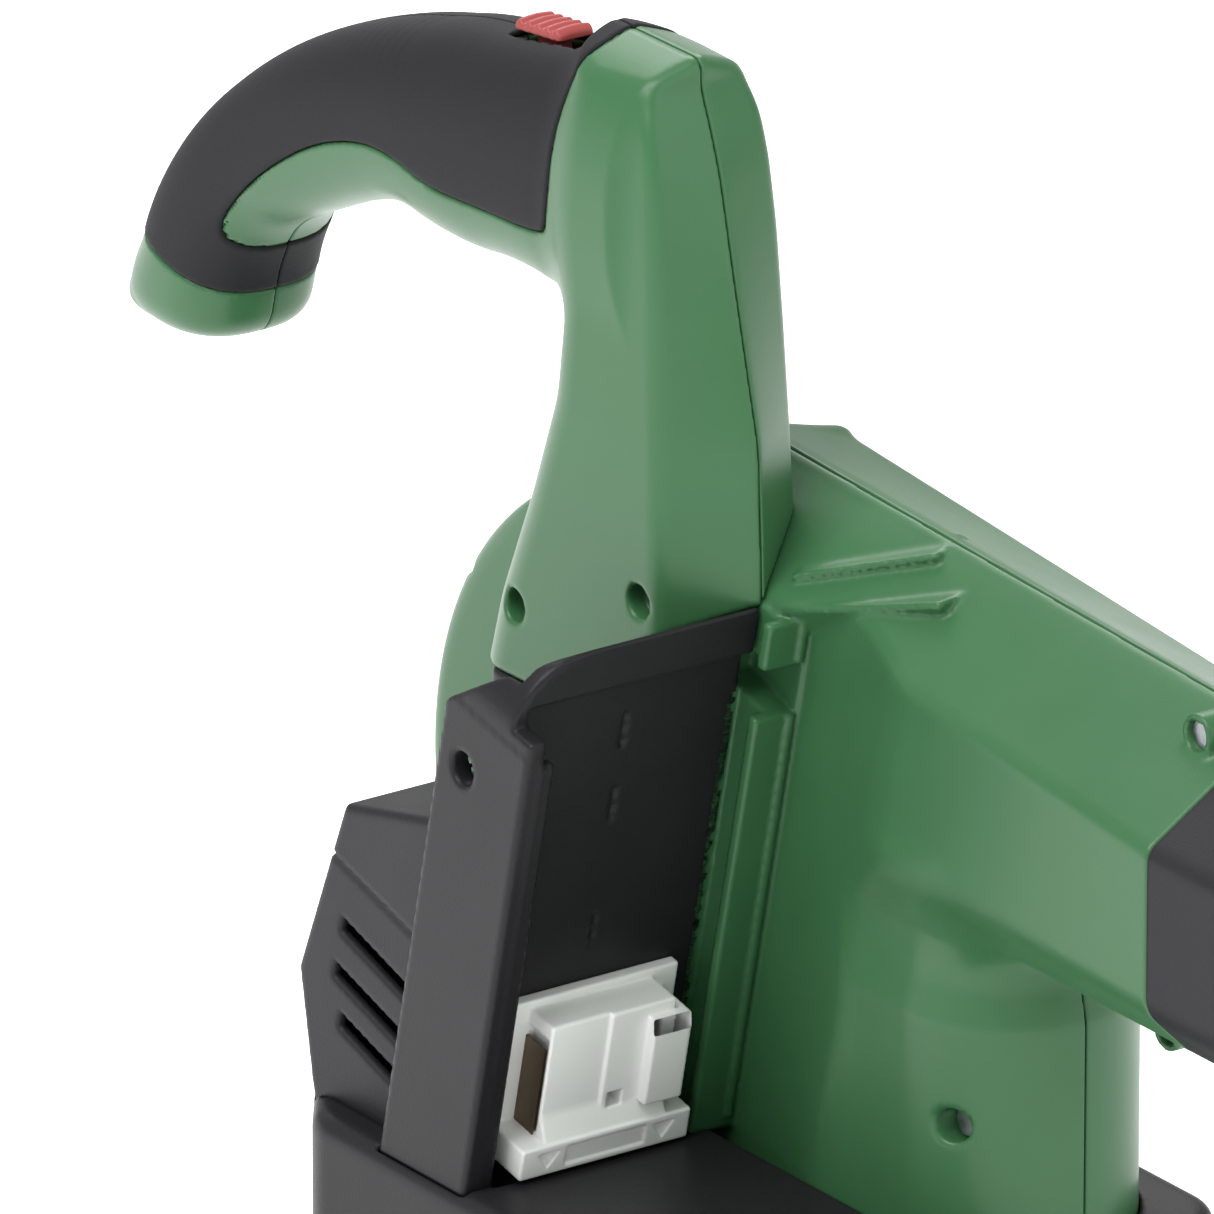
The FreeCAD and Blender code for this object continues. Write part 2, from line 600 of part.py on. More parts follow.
def drum(name, radius, y_low, y_high):
    """A cylinder on the fan's axis; all three values are expressions on the sheet."""
    item = doc.addObject("Part::Cylinder", name)
    item.Placement = Placement(Vector(0, 0, 0), ON_AXIS)
    item.setExpression("Radius", radius)
    item.setExpression("Height", "(%s) - (%s)" % (y_high, y_low))
    item.setExpression("Placement.Base.x", "sizes.fan_x")
    item.setExpression("Placement.Base.y", y_low)
    item.setExpression("Placement.Base.z", "sizes.fan_z")
    return item


def minus(name, base, tool):
    """One piece with another cut away."""
    item = doc.addObject("Part::Cut", name)
    item.Base = base
    item.Tool = tool
    return item


def plus(name, parts):
    """Several primitives as one piece."""
    item = doc.addObject("Part::MultiFuse", name)
    item.Shapes = parts
    return item


def ring(label, outer, inner, y_low, y_high):
    """A ring on the fan's axis."""
    item = minus(label, drum(label + "_outer", outer, y_low, y_high),
                 drum(label + "_bore", inner, y_low + " - 1", y_high + " + 1"))
    return keep(item, label)


can_low = "sizes.can_right"
can_high = "sizes.can_right + sizes.can_length"
can_cup = minus("can_cup", drum("can_body", "sizes.can_radius", can_low, can_high),
                drum("can_room", "sizes.can_radius - sizes.can_wall", can_low + " - 1", can_high + " - sizes.can_wall"))
can_nose = drum("can_nose", "sizes.bearing_radius + sizes.can_wall", can_high, can_high + " + 4.4")
can_solid = plus("can_solid", [can_cup, can_nose])
can_bore = drum("can_bore", "sizes.bearing_radius", can_high + " - sizes.can_wall - 1", can_high + " + 6")
keep(minus("motor_can", can_solid, can_bore), "motor_can")
bell_low = "sizes.can_right - 5"
bell_solid = drum("bell_solid", "sizes.can_radius", bell_low, can_low)
bell_bore = drum("bell_bore", "sizes.bearing_radius", bell_low + " + 1.4", can_low + " + 1")
keep(minus("motor_end_bell", bell_solid, bell_bore), "motor_end_bell")
ring("bearing_front", "sizes.bearing_radius", "sizes.shaft_radius + sizes.shaft_gap",
     can_high + " - 0.8", can_high + " - 0.8 + sizes.bearing_width")
ring("bearing_rear", "sizes.bearing_radius", "sizes.shaft_radius + sizes.shaft_gap",
     bell_low + " + 1.4", can_low)
fan_high = "sizes.impeller_right + sizes.impeller_width"
keep(drum("motor_shaft", "sizes.shaft_radius", bell_low + " + 2", fan_high + " + 4"), "motor_shaft")
ring("rotor_core", "sizes.rotor_radius", "sizes.shaft_radius", can_low + " + 11", can_high + " - 5")
ring("commutator", "sizes.rotor_radius * 0.5", "sizes.shaft_radius", can_low + " + 3", can_low + " + 10")
ring("fan_nut", "4.5", "sizes.shaft_radius", fan_high, fan_high + " + 3.5")

# ---------------------------------------------------------------- other pieces of the motor

can_radius = size("can_radius")
shaft_radius = size("shaft_radius")
can_low_y = size("can_right")
can_high_y = can_low_y + size("can_length")
magnet_outer = can_radius - size("can_wall")
magnet_inner = magnet_outer - size("magnet_thick")
magnet_ring = bar_y(magnet_outer, fan_x, fan_z, can_low_y + 10, can_high_y - 4).cut(
    bar_y(magnet_inner, fan_x, fan_z, can_low_y, can_high_y))
magnet_gap = block((fan_x - 40, fan_x + 40), (-200, 200), (fan_z - 5, fan_z + 5))
piece("field_magnets", magnet_ring.cut(magnet_gap))
tabs = [block((fan_x + x - 1.2, fan_x + x + 1.2), (can_low_y - 4, can_low_y - 1), (fan_z + 10, fan_z + 22.6))
        for x in (-2, 3)]
piece("motor_terminals", Part.makeCompound([tab.cut(bar_y(can_radius, fan_x, fan_z, -200, 0)) for tab in tabs]))
brush_inner = size("rotor_radius") * 0.5 + 0.05
brushes = [block((fan_x + low, fan_x + high), (can_low_y + 4, can_low_y + 9), (fan_z - 2, fan_z + 2))
           for low, high in ((brush_inner, brush_inner + 8), (-brush_inner - 8, -brush_inner))]
piece("carbon_brushes", Part.makeCompound(brushes))
bracket = block((fan_x - 28, fan_x + 11.5), (-33.6, -housing_half - 0.02), (fan_z - 16, fan_z + 16))
bracket = bracket.cut(bar_y(size("bearing_radius") + size("can_wall") + gap, fan_x, fan_z, -50, 0))
mount_screws = [(fan_x + x, fan_z + z, -33.6 - HEAD_HEIGHT) for x in (-22, 7.5) for z in (-12, 12)]
mount_bores = join([bar_y(size("screw_radius"), x, z, -40, -20) for x, z, y in mount_screws])
piece("motor_bracket", bracket.cut(mount_bores))
screw_group("motor_bracket_screws", mount_screws, 8, -1)

# ---------------------------------------------------------------- fan

fan_low_y = size("impeller_right")
fan_high_y = fan_low_y + size("impeller_width")
fan_radius = size("impeller_radius")
blade_half = size("blade_thick") / 2


def fan_blade(index):
    """One backward-curved blade: an arc of a ring, standing on the back plate."""
    bend = fan_radius * 0.62
    middle_x = fan_x + fan_radius * 0.55
    middle_z = fan_z - bend * 0.82
    ring_wall = bar_y(bend + blade_half, middle_x, middle_z, fan_low_y, fan_high_y).cut(
        bar_y(bend - blade_half, middle_x, middle_z, fan_low_y, fan_high_y))
    reach = bar_y(fan_radius, fan_x, fan_z, fan_low_y, fan_high_y).cut(
        bar_y(size("hub_radius") + 6, fan_x, fan_z, fan_low_y, fan_high_y))
    upper = block((fan_x, fan_x + 80), (fan_low_y, fan_high_y), (middle_z, fan_z + 60))
    blade = largest(ring_wall.common(reach).common(upper))
    blade.rotate(Vector(fan_x, 0, fan_z), Vector(0, 1, 0), 360 * index / size("blade_count"))
    return blade


back_plate = bar_y(fan_radius, fan_x, fan_z, fan_low_y, fan_low_y + 1.8)
hub = bar_y(size("hub_radius"), fan_x, fan_z, fan_low_y, fan_high_y)
blades_all = [fan_blade(index) for index in range(int(size("blade_count")))]
shroud = bar_y(fan_radius, fan_x, fan_z, fan_high_y - 1.6, fan_high_y).cut(
    bar_y(size("intake_radius") - 1, fan_x, fan_z, 0, 60))
impeller = join([back_plate, hub, shroud] + blades_all).cut(bar_y(shaft_radius, fan_x, fan_z, -60, 60))
piece("impeller", largest(impeller))

# ---------------------------------------------------------------- air intake grille

grille_low = housing_half
grille_high = housing_half + 3


def flat_ring(outer, inner):
    """A flat ring of the grille."""
    return bar_y(outer, fan_x, fan_z, grille_low, grille_high).cut(
        bar_y(inner, fan_x, fan_z, grille_low - 1, grille_high + 1))


intake = size("intake_radius")
rings = [flat_ring(intake + 8, intake - 1)] + [flat_ring(radius, radius - 2) for radius in (28, 21, 14)]
rings.append(bar_y(7, fan_x, fan_z, grille_low, grille_high))
spokes = []
for index in range(6):
    spoke = block((fan_x - 1.1, fan_x + 1.1), (grille_low, grille_high), (fan_z + 4, fan_z + intake + 1))
    spoke.rotate(Vector(fan_x, 0, fan_z), Vector(0, 1, 0), 60 * index)
    spokes.append(spoke)
grille_screws = []
for index in range(4):
    angle = math.radians(45 + 90 * index)
    grille_screws.append((fan_x + (intake + 4) * math.cos(angle), fan_z + (intake + 4) * math.sin(angle), grille_high))
grille_bores = join([bar_y(1.4, x, z, grille_low - 4, grille_high + 1) for x, z, y in grille_screws])
piece("intake_grille", join(rings + spokes).cut(grille_bores))
grille_heads = [bar_y(2.6, x, z, grille_high, grille_high + 1.6).fuse(bar_y(1.4, x, z, grille_high - 7, grille_high))
                for x, z, y in grille_screws]
piece("grille_screws", Part.makeCompound(grille_heads))
piece("body_shell_left", largest(left_half.cut(grille_bores)))
piece("body_shell_right", largest(right_half.cut(mount_bores)))

# ---------------------------------------------------------------- air tube

socket_end = duct_front + size("spigot_length") + 3
drop = math.radians(size("tube_drop"))
pipe_run = Vector(math.cos(drop), 0, -math.sin(drop))
pipe_start = Vector(socket_end + size("morph_length"), 0, 144.5)


def pipe_point(x):
    """The middle of the round tube at one place along X."""
    return pipe_start + pipe_run * ((x - pipe_start.x) / pipe_run.x)


def round_ring(x, radius):
    """A circle across the tube, in seven arcs that match the duct's corners."""
    centre = pipe_point(x)
    up = Vector(math.sin(drop), 0, math.cos(drop))
    side = Vector(0, -1, 0)
    angles = [90, 32, -38, -66, -114, -142, -212]
    edges = []
    for index, start in enumerate(angles):
        end = angles[(index + 1) % 7] - (360 if index == 6 else 0)
        middle = (start + end) / 2
        points = []
        for angle in (start, middle, end):
            turn = math.radians(angle)
            points.append(centre + side * (radius * math.cos(turn)) + up * (radius * math.sin(turn)))
        edges.append(Part.Arc(*points).toShape())
    return Part.Wire(edges)


def socket_wire(x, inset):
    """The duct's own section, carried on along the tube."""
    corners = duct_corners(x, inset)
    return Part.makePolygon(corners + corners[:1])


def cone_run(x_low, radius_low, x_high, radius_high):
    """A straight tapering run of the tube."""
    start = pipe_point(x_low)
    end = pipe_point(x_high)
    if radius_low == radius_high:
        return rod(radius_low, start, end)
    return Part.makeCone(radius_low, radius_high, (end - start).Length, start, end - start)


tube_wall = size("tube_wall")
pipe_radius = size("pipe_radius")
nozzle_radius = size("nozzle_radius")
joint_x = size("tube_joint")
overlap = size("pipe_overlap")
tube_front = size("tube_front")
spigot_outer = pipe_radius - tube_wall - size("slide_gap")


def tube_rear_body(inset):
    """Socket, square-to-round change and straight run, with every wall moved in by inset."""
    socket = Part.makeLoft([socket_wire(duct_front + gap, inset), socket_wire(socket_end, inset)], True, True)
    change = Part.makeLoft([socket_wire(socket_end, inset), round_ring(pipe_start.x, pipe_radius - inset)],
                           True, True)
    run = cone_run(pipe_start.x, pipe_radius - inset, joint_x, pipe_radius - inset)
    return join([socket, change, run])


tube_tail = cone_run(joint_x - 1, spigot_outer, joint_x + overlap, spigot_outer)
tube_bore = cone_run(joint_x - 8, spigot_outer - tube_wall, joint_x + overlap + 1, spigot_outer - tube_wall)
bore_end = cone_run(pipe_start.x, pipe_radius - tube_wall, joint_x - 4, pipe_radius - tube_wall)
rear_inner = join([Part.makeLoft([socket_wire(duct_front + gap - 1, tube_wall), socket_wire(socket_end, tube_wall)],
                                 True, True),
                   Part.makeLoft([socket_wire(socket_end, tube_wall),
                                  round_ring(pipe_start.x, pipe_radius - tube_wall)], True, True), bore_end])
tube_rear = join([tube_rear_body(0), tube_tail]).cut(rear_inner).cut(tube_bore)
piece("tube_rear", largest(tube_rear))
nozzle_start = joint_x + gap
nozzle_collar = cone_run(nozzle_start, pipe_radius, joint_x + overlap + 2, pipe_radius)
nozzle_taper = cone_run(joint_x + overlap + 2, pipe_radius, tube_front, nozzle_radius)
collar_bore = cone_run(nozzle_start - 1, pipe_radius - tube_wall, joint_x + overlap + 1, pipe_radius - tube_wall)
taper_bore = cone_run(joint_x + overlap, pipe_radius - tube_wall - 1, tube_front + 1, nozzle_radius - tube_wall)
nozzle_lip = cone_run(tube_front - 8, nozzle_radius + 1.6, tube_front, nozzle_radius + 1.6)
nozzle = join([nozzle_collar, nozzle_taper, nozzle_lip]).cut(collar_bore).cut(taper_bore)
piece("tube_nozzle", largest(nozzle))

# ---------------------------------------------------------------- switch

slider_run = Vector(math.cos(math.radians(6)), 0, math.sin(math.radians(6)))
slider_up = Vector(-slider_run.z, 0, slider_run.x)
slider_origin = Vector(size("switch_x") - size("slider_travel") / 2, handle_y, 287.8)


def slider_block(along, across, up):
    """A box in the slider's own directions."""
    ring = [slider_origin + slider_run * a + Vector(0, across[0], 0) + slider_up * b
            for a, b in ((along[0], up[0]), (along[1], up[0]), (along[1], up[1]), (along[0], up[1]))]
    return Part.Face(Part.makePolygon(ring + ring[:1])).extrude(Vector(0, across[1] - across[0], 0))


half_length = size("slider_length") / 2
half_width = size("slider_width") / 2
button = slider_block((-half_length, half_length), (-half_width, half_width), (-4.5, 1))
ribs = [slider_block((at - 0.8, at + 0.8), (-half_width + 0.6, half_width - 0.6), (0.5, 2.4)) for at in (-6, -2, 2, 6)]
stem = slider_block((-2, 2), (-2, 2), (-12, -4))
piece("switch_slider", join([button, stem] + ribs))
switch_case = slider_block((-16, 20), (-7, 7), (-26, -9))
switch_slot = slider_block((-4, 4 + size("slider_travel")), (-2.4, 2.4), (-14, -8))
piece("power_switch", switch_case.cut(switch_slot))

# ---------------------------------------------------------------- control board

board = doc.addObject("Part::Box", "control_board")
board.setExpression("Placement.Base.x", "sizes.neck_front - 43")
board.setExpression("Placement.Base.y", "sizes.handle_y - sizes.board_thick / 2")
board.setExpression("Placement.Base.z", "sizes.board_low")
board.setExpression("Length", "sizes.board_length")
board.setExpression("Width", "sizes.board_thick")
board.setExpression("Height", "sizes.board_height")
keep(board, "control_board")
board_face = handle_y + size("board_thick") / 2
chip_block = block((0, 12), (board_face, handle_y + 5), (196, 208))
capacitor = rod(4, Vector(6, board_face, 216), Vector(6, handle_y + 10, 216))
piece("board_components", Part.makeCompound([chip_block, capacitor]))

# ---------------------------------------------------------------- internal leads


def cable(label, points, radius):
    """A lead along straight runs joined by tangent arcs, as large as the runs allow."""
    places = [Vector(*point) for point in points]
    edges = []
    last = places[0]
    for index in range(1, len(places) - 1):
        back = places[index - 1] - places[index]
        ahead = places[index + 1] - places[index]
        cut = 0.45 * min(back.Length, ahead.Length)
        back.normalize()
        ahead.normalize()
        turn = math.pi - back.getAngle(ahead)
        bend = cut / math.tan(turn / 2)
        start = places[index] + back * cut
        end = places[index] + ahead * cut
        inward = back + ahead
        inward.normalize()
        middle = places[index] + inward * (math.hypot(bend, cut) - bend)
        edges.append(Part.LineSegment(last, start).toShape())
        edges.append(Part.Arc(start, middle, end).toShape())
        last = end
    edges.append(Part.LineSegment(last, places[-1]).toShape())
    path = Part.Wire(edges)
    first = places[1] - places[0]
    section = Part.Wire([Part.makeCircle(radius, places[0], first)])
    solid = path.makePipeShell([section], True, False)
    return piece(label, solid)


for name, shift in (("positive", 0), ("negative", 5)):
    cable("motor_lead_" + name, [(-14 + shift, -38, 186), (-14 + shift, -39, 172), (-13 + shift, -41, 152),
                                 (-12 + shift, -42, 134), (-13 + shift, -42.5, 120), (-14 + shift, -51, 113.5),
                                 (-14 + shift, -66, 113.3), (-14.2 + shift, -79, 113.4)], 1.1)

doc.recompute()
for item in doc.Objects:
    if "Invalid" in item.State or "Error" in item.State:
        raise RuntimeError(item.Label + " did not recompute")
os.makedirs("parts", exist_ok=True)
for item in nodes:
    if item.Shape.isNull() or not item.Shape.isValid():
        raise RuntimeError(item.Label + " has no valid shape")
    item.Shape.exportStep("parts/" + item.Label + ".step")
    print(item.Label, item.Shape.ShapeType, len(item.Shape.Solids), round(item.Shape.Volume / 1000, 1))
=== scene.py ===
import math

import bpy
import numpy as np
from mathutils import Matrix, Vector


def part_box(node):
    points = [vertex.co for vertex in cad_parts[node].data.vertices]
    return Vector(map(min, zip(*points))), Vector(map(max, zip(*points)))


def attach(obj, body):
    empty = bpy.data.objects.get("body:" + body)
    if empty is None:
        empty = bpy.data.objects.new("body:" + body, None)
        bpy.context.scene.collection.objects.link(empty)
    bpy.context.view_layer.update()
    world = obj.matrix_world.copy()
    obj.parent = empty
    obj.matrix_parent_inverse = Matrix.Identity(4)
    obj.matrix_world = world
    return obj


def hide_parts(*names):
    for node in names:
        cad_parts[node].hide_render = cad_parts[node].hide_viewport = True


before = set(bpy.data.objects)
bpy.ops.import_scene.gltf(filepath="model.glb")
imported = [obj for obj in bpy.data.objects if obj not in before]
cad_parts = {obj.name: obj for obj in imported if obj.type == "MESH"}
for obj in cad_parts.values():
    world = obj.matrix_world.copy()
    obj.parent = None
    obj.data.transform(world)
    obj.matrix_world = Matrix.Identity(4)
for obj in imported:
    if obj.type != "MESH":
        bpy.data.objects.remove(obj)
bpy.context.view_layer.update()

MM = 0.001
FINE = 1.0


def box_mm(node):
    """Lowest and highest corner of a CAD node, in millimetres."""
    low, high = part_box(node)
    return np.array(low) / MM, np.array(high) / MM


# ------------------------------------------------------------------ driving places and sizes, in mm

impeller_low, impeller_high = box_mm("impeller")
FAN_X = (impeller_low[0] + impeller_high[0]) / 2
FAN_Z = (impeller_low[2] + impeller_high[2]) / 2
HANDLE_Y = box_mm("handle_shell_right")[1][1]
HANDLE_TOP = box_mm("handle_shell_right")[1][2]
FRAME_LOW, FRAME_HIGH = box_mm("bay_frame")
BASE_LOW, BASE_HIGH = box_mm("base_foot")
SOCKET_START = box_mm("tube_rear")[0][0]
TUBE_FRONT = box_mm("tube_nozzle")[1][0]
NOZZLE_START = box_mm("tube_nozzle")[0][0]

WALL = 2.4
SEAM = 0.18
HALF = 30.0
DUCT_FRONT = 190.0
SPIGOT = 24.0
BAY_TILT = math.radians(12.8)
BAY_X = 40.0
BAY_Z = 152.0
BAY_OUTER = FRAME_LOW[1]
BAY_INNER = BAY_OUTER + 5
RAIL_Y = -31.0
BLOCK_Y = -62.0


# ------------------------------------------------------------------ distance formulas

def soft_max(a, b, radius):
    """The larger of two distances, with the corner between them rounded to about the radius."""
    blend = np.clip(radius - np.abs(a - b), 0, None)
    return np.maximum(a, b) + blend * blend / (4 * radius)


def soft_min(a, b, radius):
    """The smaller of two distances, with the inside corner filled to about the radius."""
    return -soft_max(-a, -b, radius)


def slab(value, low, high):
    """Distance outside the span from low to high; negative between them."""
    return np.maximum(low - value, value - high)


def bar_y(x, z, centre_x, centre_z, radius):
    """Distance to an endless round bar along Y."""
    return np.hypot(x - centre_x, z - centre_z) - radius


def polygon(x, z, points):
    """Signed distance to a closed outline in X and Z: nearest edge, with the sign from its crossings."""
    points = np.array(points, float)
    nearest = None
    inside = np.zeros(np.broadcast(x, z).shape, bool)
    for a, b in zip(points, np.roll(points, -1, axis=0)):
        edge = b - a
        share = ((x - a[0]) * edge[0] + (z - a[1]) * edge[1]) / (edge @ edge)
        share = np.clip(share, 0, 1)
        away = np.hypot(x - a[0] - share * edge[0], z - a[1] - share * edge[1])
        nearest = away if nearest is None else np.minimum(nearest, away)
        if a[1] != b[1]:
            level = (z >= a[1]) != (z >= b[1])
            inside ^= level & (x < a[0] + (z - a[1]) / (b[1] - a[1]) * edge[0])
    return np.where(inside, -nearest, nearest)


def smooth_outline(points, rounds=2):
    """Cut each corner of a closed outline at a quarter and three quarters, a few times over."""
    points = np.array(points, float)
    for _ in range(rounds):
        ahead = np.roll(points, -1, axis=0)
        points = np.stack([points * 0.75 + ahead * 0.25, points * 0.25 + ahead * 0.75], 1).reshape(-1, 2)
    return points


# ------------------------------------------------------------------ level surfaces

CORNERS = [(i, j, k) for i in (0, 1) for j in (0, 1) for k in (0, 1)]


def stations(low, high, step, spans):
    """Grid places on one axis: even steps, and closer ones within the spans of start, end and step."""
    places = np.arange(low - 2 * step, high + 3 * step, step)
    for start, end, close in spans:
        near = np.arange(start, end + close / 2, close)
        away = (places < near[0] - close / 2) | (places > near[-1] + close / 2)
        places = np.sort(np.concatenate([places[away], near]))
    return places


def level_surface(field, low, high, step, fine=((), (), ())):
    """Vertices and outward quads where a distance formula is zero.

    The formula is worked out on a grid.  Each cell that the surface crosses gets one vertex at the
    mean of its edge crossings, each crossed grid edge gets a quad between its four cells, and the
    vertices are then moved along the formula's slope onto the surface.
    """
    axes = [stations(low[a], high[a], step, fine[a]) for a in range(3)]
    count = np.array([len(places) for places in axes])
    grid = np.meshgrid(*axes, indexing="ij", sparse=True)
    values = np.broadcast_to(field(*grid), count).astype(np.float32)
    inside = values < 0
    cells = count - 1
    full = inside[:-1, :-1, :-1].copy()
    some = full.copy()
    for i, j, k in CORNERS[1:]:
        part = inside[i:i + cells[0], j:j + cells[1], k:k + cells[2]]
        full &= part
        some |= part
    active = np.argwhere(some & ~full)
    number = np.full(cells, -1, np.int64)
    number[tuple(active.T)] = np.arange(len(active))
    total = np.zeros((len(active), 3))
    hits = np.zeros(len(active))
    for start in CORNERS:
        for axis in range(3):
            if start[axis]:
                continue
            end = list(start)
            end[axis] = 1
            first = values[tuple((active + start).T)]
            second = values[tuple((active + end).T)]
            crossed = (first < 0) != (second < 0)
            share = np.where(crossed, first / np.where(crossed, first - second, 1), 0)
            place = np.array(start, float) + share[:, None] * np.eye(3)[axis]
            total += place * crossed[:, None]
            hits += crossed
    index_place = active + total / hits[:, None]
    vertices = np.stack([np.interp(index_place[:, a], np.arange(count[a]), axes[a]) for a in range(3)], 1)
    quads = []
    for axis in range(3):
        side, other = [(1, 2), (2, 0), (0, 1)][axis]
        ahead = [slice(1, -1)] * 3
        ahead[axis] = slice(0, -1)
        beyond = [slice(1, -1)] * 3
        beyond[axis] = slice(1, None)
        first = inside[tuple(ahead)]
        second = inside[tuple(beyond)]
        edges = np.argwhere(first != second)
        leaving = first[tuple(edges.T)]
        edges += [0 if a == axis else 1 for a in range(3)]
        around = []
        for back_side, back_other in ((1, 1), (0, 1), (0, 0), (1, 0)):
            cell = edges.copy()
            cell[:, side] -= back_side
            cell[:, other] -= back_other
            around.append(number[tuple(cell.T)])
        ring = np.stack(around, 1)
        ring[~leaving] = ring[~leaving, ::-1]
        quads.append(ring)
    for _ in range(3):
        reach = step * 0.05
        here = field(*vertices.T)
        steps = [reach * unit for unit in np.eye(3)]
        rises = [field(*(vertices + step).T) - field(*(vertices - step).T) for step in steps]
        slope = np.stack([rise / (2 * reach) for rise in rises], 1)
        pull = np.clip(here, -step, step) / np.maximum((slope ** 2).sum(1), 0.2)
        vertices -= pull[:, None] * slope
    return vertices, np.concatenate(quads)


def make_mesh(name, vertices, faces, material):
    """A smooth-shaded mesh object from arrays in millimetres; faces all have the same number of corners."""
    mesh = bpy.data.meshes.new(name)
    mesh.vertices.add(len(vertices))
    mesh.vertices.foreach_set("co", (np.asarray(vertices) * MM).astype(np.float32).ravel())
    sides = faces.shape[1]
    mesh.loops.add(faces.size)
    mesh.loops.foreach_set("vertex_index", faces.astype(np.int32).ravel())
    mesh.polygons.add(len(faces))
    mesh.polygons.foreach_set("loop_start", np.arange(0, faces.size, sides, dtype=np.int32))
    mesh.update(calc_edges=True)
    mesh.validate()
    mesh.shade_smooth()
    mesh.materials.append(material)
    made = bpy.data.objects.new(name, mesh)
    bpy.context.scene.collection.objects.link(made)
    return made


def moulded(name, field, low, high, step, material, body, slot, *nodes, fine=((), (), ())):
    """A moulded piece from its distance formula, riding on a body and standing for CAD nodes."""
    made = make_mesh(name, *level_surface(field, low, high, step, fine), material)
    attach(made, body)
    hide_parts(*nodes)
    return made


# ------------------------------------------------------------------ material nodes

MIX_FIRST, MIX_SECOND, MIX_COLOUR = 6, 7, 2  # places of a Mix node's two colours and of its result


class Value:
    """A number on a node's output, so that maths on it adds Math nodes."""

    def __init__(self, graph, socket):
        self.graph = graph
        self.socket = socket

    def maths(self, operation, first, second):
        """One Math node."""
        return self.graph.add("ShaderNodeMath", {"operation": operation}, {0: first, 1: second})["Value"]

    def __add__(self, other):
        return self.maths("ADD", self, other)

    def __sub__(self, other):
        return self.maths("SUBTRACT", self, other)

    def __rsub__(self, other):
        return self.maths("SUBTRACT", other, self)

    def __mul__(self, other):
        return self.maths("MULTIPLY", self, other)

    __radd__ = __add__
    __rmul__ = __mul__


class Outputs:
    """A node's outputs by name or by place."""

    def __init__(self, graph, node):
        self.graph = graph
        self.node = node

    def __getitem__(self, key):
        return Value(self.graph, self.node.outputs[key])


class Finish:
    """A procedural material and its nodes."""

    def __init__(self, name):
        self.material = bpy.data.materials.new(name)
        self.material.use_nodes = True
        self.tree = self.material.node_tree
        self.shader = self.tree.nodes["Principled BSDF"]
        self.place = self.add("ShaderNodeTexCoord", {}, {})["Object"]

    def add(self, kind, settings, inputs):
        """Add a node, with its settings first and then its inputs."""
        node = self.tree.nodes.new(kind)
        for key, value in settings.items():
            setattr(node, key, value)
        for key, value in inputs.items():
            self.feed(node.inputs[key], value)
        return Outputs(self, node)

    def feed(self, socket, value):
        """Link a value or set a constant."""
        if isinstance(value, Value):
            self.tree.links.new(value.socket, socket)
        else:
            socket.default_value = value

    def noise(self, scale, detail=3.0, roughness=0.55):
        """Noise on the object's own place; scale is in cycles per metre."""
        inputs = {"Vector": self.place, "Scale": scale, "Detail": detail, "Roughness": roughness}
        return self.add("ShaderNodeTexNoise", {}, inputs)["Fac"]

    def mix(self, factor, first, second):
        """A mix of two colours."""
        return self.add("ShaderNodeMix", {"data_type": "RGBA"},
                        {"Factor": factor, MIX_FIRST: first, MIX_SECOND: second})[MIX_COLOUR]

    def set(self, **sockets):
        """Set or link sockets of the main shader by name, with underscores for spaces."""
        for key, value in sockets.items():
            self.feed(self.shader.inputs[key.replace("_", " ")], value)

    def bump(self, height, distance):
        """Bump from a height, with the distance in metres."""
        made = self.add("ShaderNodeBump", {}, {"Height": height, "Distance": distance, "Strength": 1.0})
        self.feed(self.shader.inputs["Normal"], made["Normal"])


def plastic(name, dark, light, rough, grain_scale, grain_depth, coat=0.0, shine=0.3):
    """Moulded plastic: two close shades in slow patches, a fine moulded grain and uneven gloss."""
    finish = Finish(name)
    patches = finish.noise(28.0, 4.0)
    grain = finish.noise(grain_scale, 2.0)
    finish.set(Base_Color=finish.mix(patches, (*dark, 1), (*light, 1)),
               Roughness=(patches - 0.5) * 0.16 + (grain - 0.5) * 0.1 + rough)
    finish.set(Coat_Weight=coat, Coat_Roughness=0.18, Specular_IOR_Level=shine)
    finish.bump(grain, grain_depth)
    return finish.material


def metal(name, colour, rough, scratch_scale):
    """Bare metal with fine uneven brushing."""
    finish = Finish(name)
    marks = finish.noise(scratch_scale, 5.0, 0.7)
    finish.set(Base_Color=(*colour, 1), Metallic=1.0, Roughness=(marks - 0.5) * 0.3 + rough)
    finish.bump(marks, 0.00002)
    return finish.material


# name, darker and lighter shade, roughness, grain in cycles per metre, grain depth in metres, coat, shine
green = plastic("green_moulded_plastic", (0.032, 0.112, 0.043), (0.040, 0.132, 0.052),
                0.36, 2600.0, 0.000025, 0.06)
charcoal = plastic("charcoal_textured_plastic", (0.014, 0.013, 0.016), (0.020, 0.019, 0.022),
                   0.50, 1500.0, 0.00006, 0.0, 0.2)
soft_grip = plastic("soft_grip_rubber", (0.012, 0.012, 0.014), (0.017, 0.017, 0.019),
                    0.66, 1800.0, 0.00005, 0.0, 0.18)
bay_black = plastic("bay_frame_plastic", (0.011, 0.010, 0.012), (0.016, 0.015, 0.017),
                    0.44, 1500.0, 0.00005, 0.0, 0.2)
red = plastic("red_switch_plastic", (0.29, 0.050, 0.048), (0.36, 0.065, 0.060), 0.42, 1800.0, 0.00003)
cream = plastic("cream_contact_plastic", (0.80, 0.82, 0.79), (0.88, 0.90, 0.87), 0.34, 1800.0, 0.00002)
board_green = plastic("circuit_board", (0.010, 0.10, 0.045), (0.014, 0.13, 0.06), 0.35, 900.0, 0.00002)
carbon = plastic("carbon_block", (0.012, 0.012, 0.013), (0.022, 0.022, 0.023), 0.6, 3000.0, 0.00002)
lead_red = plastic("red_lead_sleeve", (0.35, 0.02, 0.02), (0.42, 0.03, 0.03), 0.4, 1200.0, 0.00001)
